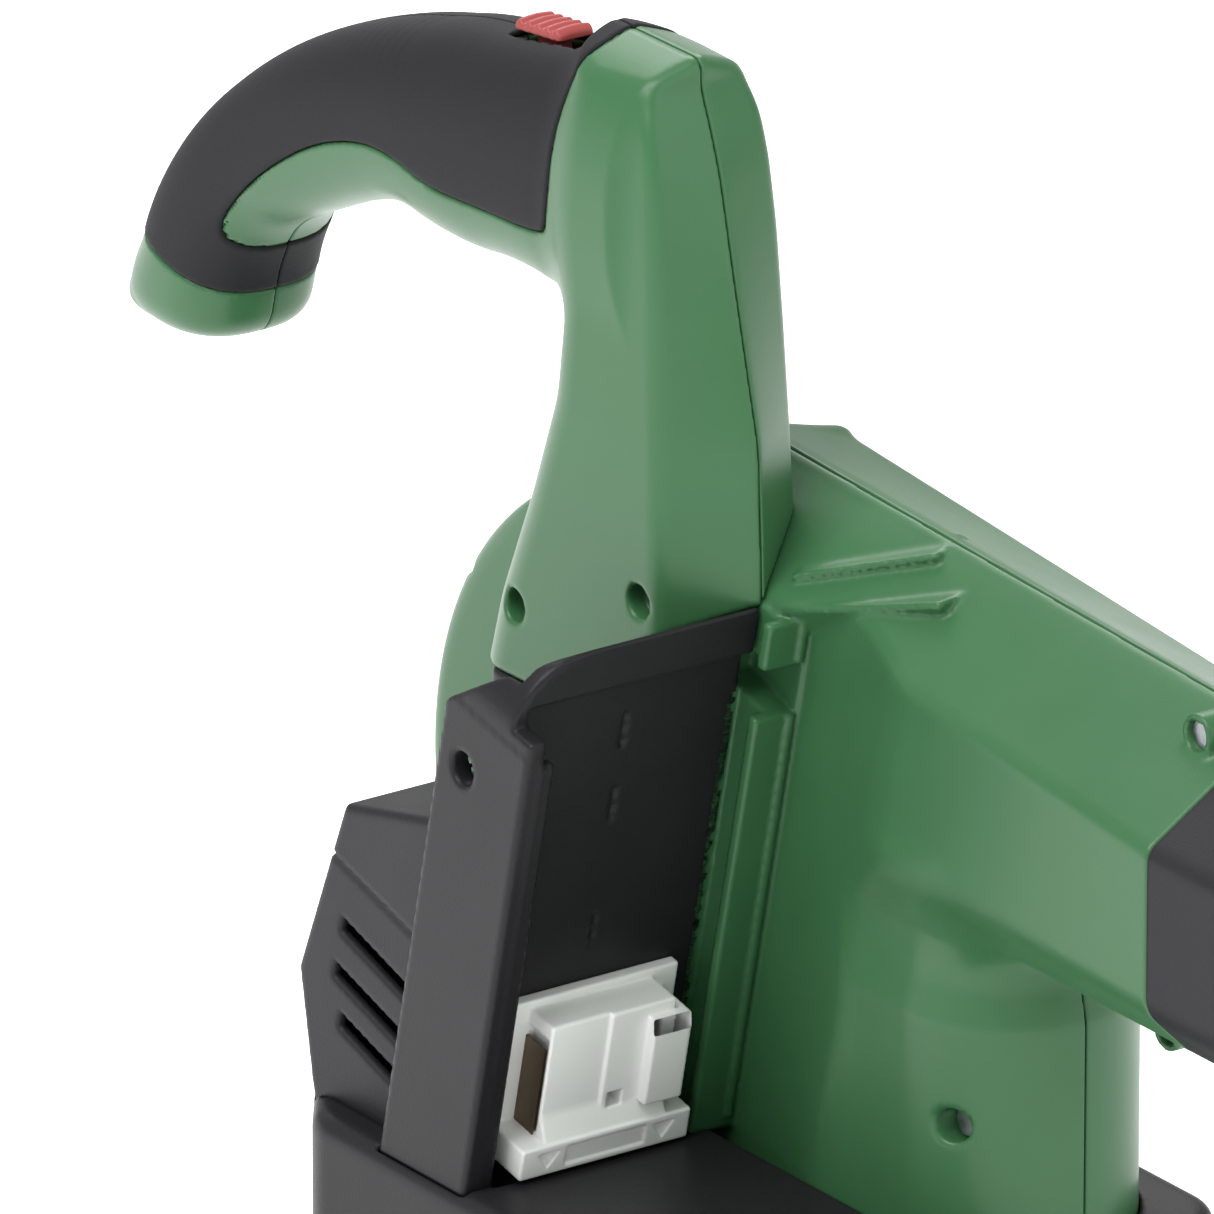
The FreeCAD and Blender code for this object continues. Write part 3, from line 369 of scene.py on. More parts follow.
lead_black = plastic("black_lead_sleeve", (0.015, 0.015, 0.016), (0.022, 0.022, 0.024),
                     0.4, 1200.0, 0.00001)
# name, colour, roughness, brushing in cycles per metre
steel = metal("plated_steel", (0.36, 0.37, 0.39), 0.36, 1800.0)
brass = metal("contact_brass", (0.16, 0.12, 0.08), 0.42, 2200.0)
dull_magnet = metal("magnet_ferrite", (0.10, 0.10, 0.11), 0.6, 900.0)

# ------------------------------------------------------------------ fan housing formulas

VOLUTE_START = 71.0
VOLUTE_GROWTH = 28.0
TONGUE = 20.0
VOLUTE_TURN = 290.0


def volute_side(x, z):
    """Distance outside the scroll from the side: its radius grows evenly with the turn from the tongue."""
    radius = np.hypot(x - FAN_X, z - FAN_Z)
    turned = np.mod(TONGUE - np.degrees(np.arctan2(z - FAN_Z, x - FAN_X)), 360)
    rim = VOLUTE_START + VOLUTE_GROWTH * np.minimum(turned, VOLUTE_TURN) / 360
    end = VOLUTE_START + VOLUTE_GROWTH * VOLUTE_TURN / 360
    tongue = math.radians(TONGUE)
    start_x, start_z = FAN_X + VOLUTE_START * math.cos(tongue), FAN_Z + VOLUTE_START * math.sin(tongue)
    run_x, run_z = start_x - FAN_X, start_z - FAN_Z - end
    beyond = ((z - start_z) * run_x - (x - start_x) * run_z) / math.hypot(run_x, run_z)
    return np.where(turned > VOLUTE_TURN, np.maximum(radius - rim, beyond), radius - rim)


def scroll(x, y, z):
    """The scroll with its rims rounded."""
    return soft_max(volute_side(x, z), np.abs(y) - HALF, 7.0)


DUCT_HALF, DUCT_WIDENING = 27.0, 9.0
RIDGE, RIDGE_FALL = 197.0, 9.0
CREASE, CREASE_FALL = 179.0, 13.7
LEFT_LIFT = 10.0
DUCT_FOOT = 127.0
DUCT_FLOOR = 113.0
DUCT_FLOOR_HALF = 22.0
TAIL_END = -52.0
TAIL_LENGTH = 70.0


def tail_drop(behind, radius, sink):
    """How far an edge of the duct drops behind the fan's axis: along an arc, and sinking evenly besides."""
    return radius - np.sqrt(radius ** 2 - behind ** 2) + sink * behind


def duct_sides(x, y, z, inset):
    """The duct's section, each side moved in by inset.

    It has two sloping roofs from a ridge to a crease, upright sides, two bevels and a floor.  The left
    crease is higher near the handle.
    """
    along = np.clip((x - FAN_X) / (DUCT_FRONT - FAN_X), 0, 1)
    behind = np.clip(FAN_X - x, 0, TAIL_LENGTH)
    half = DUCT_HALF + DUCT_WIDENING * along - inset
    ridge = RIDGE - RIDGE_FALL * along - inset - tail_drop(behind, 105, 0.48)
    crease = CREASE - CREASE_FALL * along - inset * 0.6 - tail_drop(behind, 87, 0.43)
    foot = DUCT_FOOT + inset * 0.5
    floor = DUCT_FLOOR + inset
    floor_half = DUCT_FLOOR_HALF - inset * 0.4
    across = np.sqrt(y * y + 1.5 ** 2)
    rise = ridge - crease - LEFT_LIFT * (1 - along) * np.clip(0.5 + y / 6, 0, 1)
    roof = (across * rise + (z - ridge) * half) / np.hypot(rise, half)
    fall_y, fall_z = half - floor_half, foot - floor
    bevel = ((across - half) * fall_z - (z - foot) * fall_y) / np.hypot(fall_y, fall_z)
    sides = soft_max(across - half, bevel, 3.0)
    return soft_max(soft_max(sides, roof, 2.5), soft_max(floor - z, TAIL_END - x, 2.0), 3.0)


def duct(x, y, z):
    """The duct from inside the scroll to its front edge."""
    return soft_max(soft_max(duct_sides(x, y, z, 0.0), x - DUCT_FRONT, 0.8), TAIL_END - x, 4.0)


NOSE_X, NOSE_HALF = 90.0, 30.0
NOSE_SHOULDER, NOSE_DRAFT = 92.0, 0.22
NOSE_REAR = 30.0
NOSE_FOOT, NOSE_TOP = 16.0, 124.0


def nose(x, y, z):
    """The upright round-fronted nose, drawn in above its shoulder."""
    outline = np.where(x > NOSE_X, np.hypot(x - NOSE_X, y), np.abs(y)) - NOSE_HALF
    plan = outline + np.clip(z - NOSE_SHOULDER, 0, 20) * NOSE_DRAFT
    ends = soft_max(NOSE_FOOT - z, z - NOSE_TOP, 2.0)
    return soft_max(soft_max(plan, NOSE_REAR - x, 3.0), ends, 2.0)


def bay_out(x, z):
    """Height off the rail faces."""
    return (x - BAY_X) * math.cos(BAY_TILT) - (z - BAY_Z) * math.sin(BAY_TILT)


def bay_up(x, z):
    """Height along the battery's slide."""
    return (x - BAY_X) * math.sin(BAY_TILT) + (z - BAY_Z) * math.cos(BAY_TILT)


ROOM_WALL = -22.0
ROOM_REAR = -26.0


def battery_room(x, y, z):
    """The hollow beside the battery: its wall curves away from the rail to the duct's side."""
    out = bay_out(x, z)
    curve = np.clip((out - 4) / 54, 0, 1)
    wall_y = ROOM_WALL - 17 * curve ** 1.8
    ceiling = z - 172 - (x - 37) * 0.27
    return soft_max(soft_max(y - wall_y, ceiling, 2.0), ROOM_REAR - out, 1.0)


LUGS = [(168, 110), (178, 184), (-84, 146), (-84, 44)]
LUG_RADIUS, LUG_REACH, LUG_RECESS = 5.0, 14.0, 3.6
NOSE_SCREW = (104, 68)
SCREW_RECESS, SCREW_SLEEVE = 4.2, 5.6
SPIGOT_INSET = 2.2
MOTOR_HOLE = 19.8
INTAKE_RADIUS = 34.0
TONGUE_WALL = 1.2


def rail(x, y, z):
    """The green rail of the battery slide: lip, undercut, a fine raised line and the latch notch."""
    out = bay_out(x, z)
    up = bay_up(x, z)
    body = soft_max(soft_max(slab(out, -20, 0), slab(y, -34, -20), 0.6), slab(up, -119, 20), 0.6)
    line = soft_max(soft_max(slab(out, -3, 0.9), slab(y, -25.4, -23.2), 0.7), slab(up, -116, 20), 0.4)
    body = np.minimum(body, line)
    undercut = np.maximum(np.maximum(out + 3, -12 - out), y + 30.2)
    notch = soft_max(np.maximum(-18 - out, y + 23), slab(up, -5.5, 8) - out * 0.12, 0.6)
    return soft_max(soft_max(body, -undercut, 0.5), -notch, 0.5)


# the ribs' starts and tips along their outer top edge
FINS = [((40, -25, 181), (71.5, -7, 192)), ((40, -29, 173.6), (86, -17, 187))]


def fin(x, y, z, start, tip):
    """A pointed shelf at the neck's foot: a sharp edge, with an underside that falls back to the wall."""
    start = np.array(start, float)
    run = np.array(tip, float) - start
    span = run[0] ** 2 + run[1] ** 2
    share = ((x - start[0]) * run[0] + (y - start[1]) * run[1]) / span
    side = ((x - start[0]) * run[1] - (y - start[1]) * run[0]) / math.sqrt(span)
    top = start[2] + share * run[2]
    ends = np.maximum(-share, share - 1) * math.sqrt(span)
    under = ((top - 1.2 - z) + side * 1.1) * 0.67
    return soft_max(soft_max(soft_max(side, z - top, 0.7), under, 0.5), soft_max(ends, -14 - side, 0.5), 0.6)


def housing(x, y, z):
    """Outside of the fan housing: scroll, duct and nose together, less the battery's room, plus ribs."""
    body = soft_min(soft_min(scroll(x, y, z), duct(x, y, z), 8.0), nose(x, y, z), 14.0)
    body = soft_max(body, -battery_room(x, y, z), 3.0)
    body = soft_min(body, rail(x, y, z), 1.5)
    for start, tip in FINS:
        body = soft_min(body, fin(x, y, z, start, tip), 1.0)
    for lug_x, lug_z in LUGS:
        lug = soft_max(bar_y(x, z, lug_x, lug_z, LUG_RADIUS), np.abs(y) - LUG_REACH, 1.0)
        body = soft_min(body, lug, 2.0)
    return body


def spigot(x, y, z):
    """The narrower end that the air tube slides over."""
    return np.maximum(duct_sides(x, y, z, SPIGOT_INSET), slab(x, DUCT_FRONT - 6, DUCT_FRONT + SPIGOT))


def bore(x, y, z):
    """The open way through the duct's front end."""
    return np.maximum(duct_sides(x, y, z, WALL + SPIGOT_INSET), DUCT_FRONT - 5 - x)


def housing_shell(x, y, z):
    """The housing as a moulded wall with its bore, tongue, screw recesses, motor hole and air intake."""
    outer = housing(x, y, z)
    shell = np.maximum(outer, -(outer + WALL))
    tongue = np.maximum(np.abs(volute_side(x, z) + TONGUE_WALL) - TONGUE_WALL, outer)
    tongue = np.maximum(tongue, NOSE_REAR - x)
    shell = np.minimum(shell, np.maximum(tongue, z - 116))
    shell = np.minimum(shell, spigot(x, y, z))
    shell = np.maximum(shell, -bore(x, y, z))
    recess = np.maximum(bar_y(x, z, *NOSE_SCREW, SCREW_RECESS), y + 19.8)
    sleeve = soft_max(np.maximum(bar_y(x, z, *NOSE_SCREW, SCREW_SLEEVE), outer), y + 0.2, 0.2)
    shell = soft_max(np.minimum(shell, sleeve), -recess, 0.8)
    for lug_x, lug_z in LUGS:
        shell = soft_max(shell, -np.maximum(bar_y(x, z, lug_x, lug_z, LUG_RECESS), y + 11.0), 0.5)
    shell = np.maximum(shell, -np.maximum(bar_y(x, z, FAN_X, FAN_Z, MOTOR_HOLE), y + 27))
    return np.maximum(shell, -np.maximum(bar_y(x, z, FAN_X, FAN_Z, INTAKE_RADIUS), 27 - y))


def half(formula, right):
    """One half of a housing, set back a little from the joint so that the seam shows."""
    if right:
        return lambda x, y, z: soft_max(formula(x, y, z), y + SEAM, 0.5)
    return lambda x, y, z: soft_max(formula(x, y, z), SEAM - y, 0.5)


body_low, body_high = box_mm("body_shell_right")
moulded("fan_housing_right", half(housing_shell, True), body_low - 1, (body_high[0], 1, body_high[2]),
        1.15 * FINE, green, "machine", "green_plastic", "body_shell_right",
        fine=(((18, 56, 0.85),), ((-35, -22, 0.8), (-1.2, 1.2, 0.4)), ()))
left_low, left_high = box_mm("body_shell_left")
moulded("fan_housing_left", half(housing_shell, False), (left_low[0], -1, left_low[2]), left_high + 1,
        1.3 * FINE, green, "machine", "green_plastic", "body_shell_left",
        fine=((), ((-1.6, 1.6, 0.4),), ()))

# ------------------------------------------------------------------ handle formulas

NECK_LEVELS = [  # height, ridge x, crease x, crease half-width, rear x, side half-width
    (110, 37, 21.8, 19.9, -54, 21), (132, 37, 21.8, 19.9, -54, 21), (156, 37, 21.8, 19.9, -47, 21),
    (184, 36.2, 21.8, 19.9, -35, 21), (211, 35, 20.6, 19.1, -25, 21), (233, 29.1, 19.2, 18.6, -22, 21),
    (256, 23.2, 17.7, 17.8, -22, 20.4), (272, 19.3, 15.8, 17, -21, 19.6), (283, 15.3, 13.5, 16, -21, 18.6),
    (289, 12.6, 10.6, 14.5, -22, 17.4), (292.5, 11.2, 9.2, 12.5, -22, 16)]
GRIP_SPINE = [  # x, z, depth
    (4, 261, 60), (-24, 260.4, 61.2), (-47.9, 259.2, 54.1), (-71.9, 256, 53.8), (-95.4, 254.6, 42.8),
    (-119.2, 246.6, 40.5), (-140.4, 235.6, 38.6), (-161.1, 222.4, 32.9), (-174.2, 204.2, 36.2),
    (-179.5, 188.2, 40.4)]
GRIP_HALF = 19.0
GRIP_POWER = 2.5  # between an ellipse, 2, and a rectangle
END_REACH = 14.0
GRIP_END = 176.0
GRIP_BACK = box_mm("handle_shell_right")[0][0] + 0.2
COVER_EDGE = [(-15, 310), (-15, 293), (-19, 281), (-22, 252), (-26, 248), (-52, 247), (-70, 246), (-86, 250),
              (-100, 249), (-119, 242), (-143, 226), (-160, 209), (-153, 202), (-138, 197), (-140, 186),
              (-164, 192), (-198, 201), (-240, 212), (-240, 310)]
COVER_SKIN = 1.5
SEAT = [(-90, 138.3), (-26, 138.3), (37, 174.3), (90, 204.3)]
NECK_SCREWS = [(15, 172), (-33, 156)]
GRIP_SCREWS = [(-4, 262), (-100, 251), (-166, 207)]
SWITCH_SLOT, SWITCH_SLOT_HALF = (-56, -28), 5.8
HANDLE_RECESS, HANDLE_SLEEVE = 4.1, 5.4
CROWN_FLAT, CROWN_SLOPE = 2.0, 0.42


def smoothed(levels, column, reach=7):
    """A column of the neck's table at every millimetre of height, averaged over a short span either way."""
    table = np.array(levels, float)
    heights = np.arange(table[0, 0], table[-1, 0] + 0.5)
    values = np.interp(heights, table[:, 0], table[:, column])
    padded = np.concatenate([np.full(reach, values[0]), values, np.full(reach, values[-1])])
    window = np.hanning(2 * reach + 1)
    return heights, np.convolve(padded, window / window.sum(), "valid")


NECK = [smoothed(NECK_LEVELS, column) for column in range(1, 6)]


def neck(x, y, z):
    """The upright neck: two front facets, two sides and a narrower rear, with a crowned top."""
    ridge, crease, crease_half, rear, side_half = [np.interp(z, *table) for table in NECK]
    across = np.sqrt((y - HANDLE_Y) ** 2 + 1.0)
    front_run = ridge - crease
    front = ((x - ridge) * crease_half + across * front_run) / np.hypot(front_run, crease_half)
    run_x = crease - (rear + 9)
    run_y = side_half - crease_half
    side = ((across - crease_half) * run_x + (x - crease) * run_y) / np.hypot(run_x, run_y)
    corner = ((across - side_half) * 9 - (x - rear - 9) * 8) / math.hypot(9, 8)
    section = soft_max(soft_max(front, side, 3.0), soft_max(corner, rear - x, 5.0), 4.0)
    crown = np.maximum(across - CROWN_FLAT, 0) * CROWN_SLOPE
    return soft_max(section, z - HANDLE_TOP + crown, 3.0)


def spine_curve():
    """The grip's spine as close points, each with depth and half width, and its shrinking end."""
    table = np.array([(x, z, depth, GRIP_HALF) for x, z, depth in GRIP_SPINE], float)
    last = table[-1]
    for reach, scale in ((6, 0.99), (11, 0.96), (END_REACH, 0.93)):
        end = (last[0] - reach * 0.559, last[1] - reach * 0.829, last[2] * scale, last[3] * scale)
        table = np.vstack([table, end])
    for _ in range(3):
        middle = np.stack([table[:-1] * 0.75 + table[1:] * 0.25, table[:-1] * 0.25 + table[1:] * 0.75], 1)
        table = np.vstack([table[:1], middle.reshape(-1, 4), table[-1:]])
    return table


SPINE = spine_curve()


def grip(x, y, z):
    """The curved grip: a rounded oblong section carried along the spine, with its own depth and width."""
    nearest = np.full(np.broadcast(x, z).shape, 1e9)
    found = [np.zeros(nearest.shape) for _ in range(3)]
    for a, b in zip(SPINE[:-1], SPINE[1:]):
        run = b[:2] - a[:2]
        share = np.clip(((x - a[0]) * run[0] + (z - a[1]) * run[1]) / (run @ run), 0, 1)
        away_x = x - a[0] - share * run[0]
        away_z = z - a[1] - share * run[1]
        away = away_x ** 2 + away_z ** 2
        closer = away < nearest
        nearest = np.where(closer, away, nearest)
        normal = (away_x * run[1] - away_z * run[0]) / math.hypot(*run)
        for store, value in zip(found, (normal, a[2] + share * (b[2] - a[2]), a[3] + share * (b[3] - a[3]))):
            np.copyto(store, np.broadcast_to(value, nearest.shape), where=closer)
    normal, depth, wide = found
    across = np.abs(y - HANDLE_Y)
    power = GRIP_POWER
    ratio = ((across / wide) ** power + (np.abs(normal) / (depth / 2)) ** power) ** (1 / power)
    radius = np.hypot(across, normal)
    section = radius - radius / np.maximum(ratio, 1e-3)
    section = soft_max(section, GRIP_BACK - x, 2.0)
    return soft_max(soft_max(section, GRIP_END - z, 9.0), x - 2, 1.0)


def handle(x, y, z):
    """Neck and grip run together."""
    return soft_min(grip(x, y, z), neck(x, y, z), 9.0)


COVER_OUTLINE = smooth_outline(COVER_EDGE)


def cover_edge(x, z):
    """Distance to the soft cover's outline seen from the side."""
    return polygon(x, z, COVER_OUTLINE)


def switch_opening(x, y, z):
    """The slot in the top of the grip for the switch."""
    return np.maximum(slab(x, *SWITCH_SLOT), np.maximum(np.abs(y - HANDLE_Y) - SWITCH_SLOT_HALF, 275 - z))


def grip_recesses(x, y, z, radius):
    """Bores from the left side for the grip's screws."""
    found = None
    for screw_x, screw_z in GRIP_SCREWS:
        bore = np.maximum(bar_y(x, z, screw_x, screw_z, radius), -18.2 - y)
        found = bore if found is None else np.minimum(found, bore)
    return found


def handle_shell(x, y, z):
    """The hard handle moulding: set back under the soft cover, hollow, with screw sleeves and recesses."""
    solid = handle(x, y, z)
    edge = cover_edge(x, z)
    outer = soft_max(solid, -np.maximum(edge - 0.15, -(solid + COVER_SKIN + 0.1)), 0.5)
    depth = WALL + COVER_SKIN * np.clip(0.5 - edge / 4, 0, 1)
    shell = np.maximum(outer, -(solid + depth))
    for screw_x, screw_z in NECK_SCREWS:
        sleeve = np.maximum(np.maximum(bar_y(x, z, screw_x, screw_z, HANDLE_SLEEVE), solid), y - HANDLE_Y + 1)
        shell = np.minimum(shell, sleeve)
        recess = np.maximum(bar_y(x, z, screw_x, screw_z, HANDLE_RECESS), y + 44.8)
        shell = soft_max(shell, -recess, 0.8)
    sleeves = np.maximum(np.maximum(grip_recesses(x, y, z, HANDLE_SLEEVE), solid + 0.5), edge - 20)
    shell = soft_max(np.minimum(shell, sleeves), -grip_recesses(x, y, z, HANDLE_RECESS), 0.6)
    return np.maximum(shell, -switch_opening(x, y, z))


def seat(x, z):
    """Height below the neck's seat line."""
    points = np.array(SEAT)
    return (np.interp(x, points[:, 0], points[:, 1]) - z) * 0.87


def handle_right(x, y, z):
    """The right half of the handle, ending on the battery frame's sloping top."""
    shell = soft_max(handle_shell(x, y, z), y - HANDLE_Y + SEAM, 0.35)
    return soft_max(shell, seat(x, z), 0.8)


def handle_left(x, y, z):
    """The left half of the handle, fitted round the fan housing."""
    shell = soft_max(handle_shell(x, y, z), HANDLE_Y + SEAM - y, 0.35)
    return soft_max(soft_max(shell, 0.4 - housing(x, y, z), 0.6), 150 - z, 0.5)


def soft_cover(side):
    """The soft skin moulded over one side of the grip, a little proud, with rounded edges."""
    def formula(x, y, z):
        solid = handle(x, y, z)
        skin = soft_max(solid - 0.35, -(solid + COVER_SKIN), 0.5)
        skin = soft_max(skin, cover_edge(x, z) + 0.1, 0.8)
        skin = soft_max(skin, side * (y - HANDLE_Y) + SEAM, 0.4)
        skin = np.maximum(skin, -grip_recesses(x, y, z, 4.3))
        return np.maximum(skin, -switch_opening(x, y, z))
    return formula


HANDLE_SEAM = ((), ((HANDLE_Y - 1.6, HANDLE_Y + 1.6, 0.32),), ())
for label, formula in (("handle_shell_right", handle_right), ("handle_shell_left", handle_left)):
    low, high = box_mm(label)
    moulded(label + "_moulding", formula, low - 1, high + 1, 0.95 * FINE, green, "machine",
            "green_plastic", label, fine=HANDLE_SEAM)
for label, side in (("grip_cover_right", 1), ("grip_cover_left", -1)):
    low, high = box_mm(label)
    moulded(label + "_skin", soft_cover(side), low - 1, high + 1, 0.8 * FINE, soft_grip, "machine",
            "soft_grip", label, fine=HANDLE_SEAM)

# ------------------------------------------------------------------ battery frame


def local_bay(x, z):
    """Height off the rails and height along the slide."""
    return bay_out(x, z), bay_up(x, z)


FRAME_TOP = np.array([(-90, 138), (-26, 138), (37, 174), (90, 204.2)])
FRAME_DEPTH = -33.0
FRAME_SCREW = (14, 142)
FLOOR_FRONT, FLOOR_BACK = -12.0, -15.0
LEDGE_FRONT = -7.8
SLIDE_FOOT = -130.0
TICKS = [-12, -32, -66]
LEDGE_ROUND = 20.0


def frame_top(x, z):
    """Height above the frame's sloping top line."""
    return z - np.interp(x, FRAME_TOP[:, 0], FRAME_TOP[:, 1])


def rear_block(x, y, z, out):
    """The block under the neck, hollow below and with a way up for the leads."""
    front = np.maximum(slab(z, 112, 150), out + 12)
    block = soft_max(soft_max(-44 - x, slab(y, -51, HANDLE_Y - 0.3), 5.0), front, 0.8)
    hollow = np.maximum(np.maximum(slab(x, -41, 8), slab(y, -48, HANDLE_Y - 3)), z - 135)
    lead_way = np.maximum(np.maximum(slab(x, -20, 0), slab(y, -46.5, -36)), 130 - z)
    return np.maximum(np.maximum(block, -hollow), -lead_way)


def battery_frame(x, y, z):
    """The dark frame: side wall, rail lip, floor with tick marks, ledge and the block under the neck."""
    out, up = local_bay(x, z)
    side = slab(y, BAY_OUTER, BAY_INNER)
    wall = soft_max(soft_max(slab(out, FRAME_DEPTH, 0), side, 1.2), slab(up, SLIDE_FOOT, 4.0), 0.8)
    lip_section = soft_max(slab(out, -3, 0), slab(y, BAY_INNER - 1, BAY_INNER + 3), 0.7)
    lip = soft_max(lip_section, slab(up, SLIDE_FOOT, -2.5), 0.6)
    floor_section = np.maximum(slab(out, FLOOR_BACK, FLOOR_FRONT), slab(y, BAY_INNER - 1, RAIL_Y))
    floor_plate = np.maximum(floor_section, slab(up, SLIDE_FOOT, 10))
    ledge_depth = slab(out, FRAME_DEPTH, LEDGE_FRONT)
    ledge = np.maximum(soft_max(ledge_depth, slab(y, BAY_OUTER, RAIL_Y), 1.2), slab(up, 8, 40))
    ledge_front = soft_max(slab(out, -12.5, LEDGE_FRONT), slab(up, 8, 40), 2.0)
    ledge = np.maximum(ledge, -np.maximum(out + 12.5, -ledge_front))
    side_top = np.maximum(soft_max(ledge_depth, side, 1.2), slab(up, 0, 40))
    body = np.minimum(soft_min(np.minimum(soft_min(wall, lip, 1.0), floor_plate), ledge, 1.5), side_top)
    body = np.minimum(body, rear_block(x, y, z, out))
    boss_reach = np.maximum(out - FLOOR_FRONT, FRAME_DEPTH - out)
    boss = np.maximum(np.maximum(bar_y(x, z, *FRAME_SCREW, 4.6), slab(y, BAY_OUTER + 1, -82)), boss_reach)
    body = np.minimum(body, boss)
    round_y = BAY_OUTER + LEDGE_ROUND
    sweep = np.hypot(np.minimum(y - round_y, 0), np.maximum(up, 0)) - LEDGE_ROUND
    body = soft_max(body, np.where((y < round_y) & (up > 0), sweep, -5.0), 1.0)
    body = soft_max(body, frame_top(x, z) * 0.87, 1.2)
    for start in TICKS:
        tick = np.maximum(np.maximum(-12.7 - out, np.abs(y - BLOCK_Y) - 0.7), slab(up, start, start + 9))
        body = np.maximum(body, -tick)
    recess = np.maximum(bar_y(x, z, *FRAME_SCREW, 4.1), y + 91.8)
    body = soft_max(body, -recess, 0.8)
    return np.maximum(body, np.maximum(FRAME_LOW[2] - z, y - HANDLE_Y + 0.3))


moulded("battery_frame_moulding", battery_frame, FRAME_LOW - 1, FRAME_HIGH + 1, 0.95 * FINE,
        bay_black, "machine", "black_plastic", "bay_frame")

# ------------------------------------------------------------------ motor cover

MOTOR_LOW, MOTOR_HIGH = box_mm("motor_cover")
COVER_SIDE = [(-45, 112), (9, 124), (9, 100), (-20, 8), (-49, 8), (-59, 38), (-64, 66)]
SLOTS = [(-47, 80), (-50, 68), (-48, 56)]
SLOT_COS, SLOT_SIN = 0.951, 0.309
SLOT_LENGTH, SLOT_WIDTH = 30.0, 4.2


def motor_cover(x, y, z):
    """The cover over the motor: a hollow with rounded edges, a crease and three slanting vents."""
    side = polygon(x, z, COVER_SIDE)
    solid = soft_max(side, MOTOR_LOW[1] - y, 2.0)
    shell = np.maximum(solid, -(solid + 2.8))
    shell = np.maximum(shell, y + 30.3)
    crease_line = np.abs((x + 45) * 0.28 + (z - 97) * 0.96)
    crease = np.maximum(crease_line - 0.6, -(solid + 0.6))
    shell = soft_max(shell, -np.maximum(crease, y + 60), 0.5)
    for slot_x, slot_z in SLOTS:
        along = (x - slot_x) * SLOT_COS - (z - slot_z) * SLOT_SIN
        side_way = (x - slot_x) * SLOT_SIN + (z - slot_z) * SLOT_COS
        slot = soft_max(slab(along, 0, SLOT_LENGTH), slab(side_way, 0, SLOT_WIDTH), 1.0)
        shell = soft_max(shell, -np.maximum(slot, y - MOTOR_LOW[1] - 6), 0.6)
    out = bay_out(x, z)
    shell = soft_max(shell, out + 33.3, 0.6)
    rear = np.maximum(np.maximum(slab(x, -44.6, 14), -51.6 - y), 111 - z)
    return np.maximum(shell, -rear)


moulded("motor_cover_moulding", motor_cover, MOTOR_LOW - 1, MOTOR_HIGH + 1, 1.0 * FINE, charcoal, "machine",
        "black_plastic", "motor_cover")

# ------------------------------------------------------------------ base foot

BASE_CORNER = 16.0


def drawn_in(points, distance):
    """A closed anticlockwise outline with every side moved in by a distance."""
    points = np.array(points, float)
    back = points - np.roll(points, 1, axis=0)
    back /= np.hypot(*back.T)[:, None]
    ahead = np.roll(back, -1, axis=0)
    inward = np.stack([-back[:, 1] - ahead[:, 1], back[:, 0] + ahead[:, 0]], 1)
    return points + inward * (distance / (1 + (back * ahead).sum(1)))[:, None]


BASE_OUTLINE = [(BASE_LOW[0], BASE_HIGH[1]), (BASE_LOW[0], BASE_LOW[1] + 44),
                (BASE_LOW[0] + 60, BASE_LOW[1]), (BASE_HIGH[0], BASE_LOW[1]), (BASE_HIGH[0], BASE_HIGH[1])]
BASE_MIDDLE = drawn_in(BASE_OUTLINE, BASE_CORNER)
FEET = [(BASE_LOW[0] + 22, BASE_HIGH[1] - 22), (BASE_HIGH[0] - 22, BASE_HIGH[1] - 22),
        (BASE_HIGH[0] - 22, BASE_LOW[1] + 22), (BASE_LOW[0] + 44, BASE_LOW[1] + 33)]


BASE_WALL = 3.0
COVER_ROOM = [(-49.3, 7.7), (-59.4, 38), (-62, 60), (20, 60), (10, 7.7)]
PAD_RADIUS, PAD_DEPTH = 8.1, 2.1


def base_foot(x, y, z):
    """The flat foot: a rounded hollow block with a soft upper edge and rooms for what stands in it."""
    middle = polygon(x, y, BASE_MIDDLE) - BASE_CORNER
    solid = soft_max(soft_max(middle, z - BASE_HIGH[2], 5.0), BASE_LOW[2] - z, 2.0)
    room = np.maximum(middle + BASE_WALL, slab(z, BASE_LOW[2] + BASE_WALL, BASE_HIGH[2] - BASE_WALL))
    body = np.maximum(solid, -room)
    out = bay_out(x, z)
    column = np.maximum(np.maximum(slab(out, -33.3, 0.3), slab(y, BAY_OUTER - 0.3, 0)), -9 - z)
    cover = np.maximum(polygon(x, z, COVER_ROOM), slab(y, MOTOR_LOW[1] - 0.3, 0))
    rooms = np.minimum(np.minimum(column, cover), np.minimum(scroll(x, y, z), nose(x, y, z)) - 0.35)
    body = soft_max(body, -np.maximum(rooms, BASE_LOW[2] + 3.3 - z), 0.5)
    for foot_x, foot_y in FEET:
        pad = np.hypot(x - foot_x, y - foot_y) - PAD_RADIUS
        body = np.maximum(body, -np.maximum(pad, z - PAD_DEPTH))
    return body


moulded("base_foot_moulding", base_foot, BASE_LOW - 1, BASE_HIGH + 1, 1.25 * FINE, bay_black, "machine",
        "black_plastic", "base_foot")

# ------------------------------------------------------------------ terminal block

BLOCK_LOW = -115.0


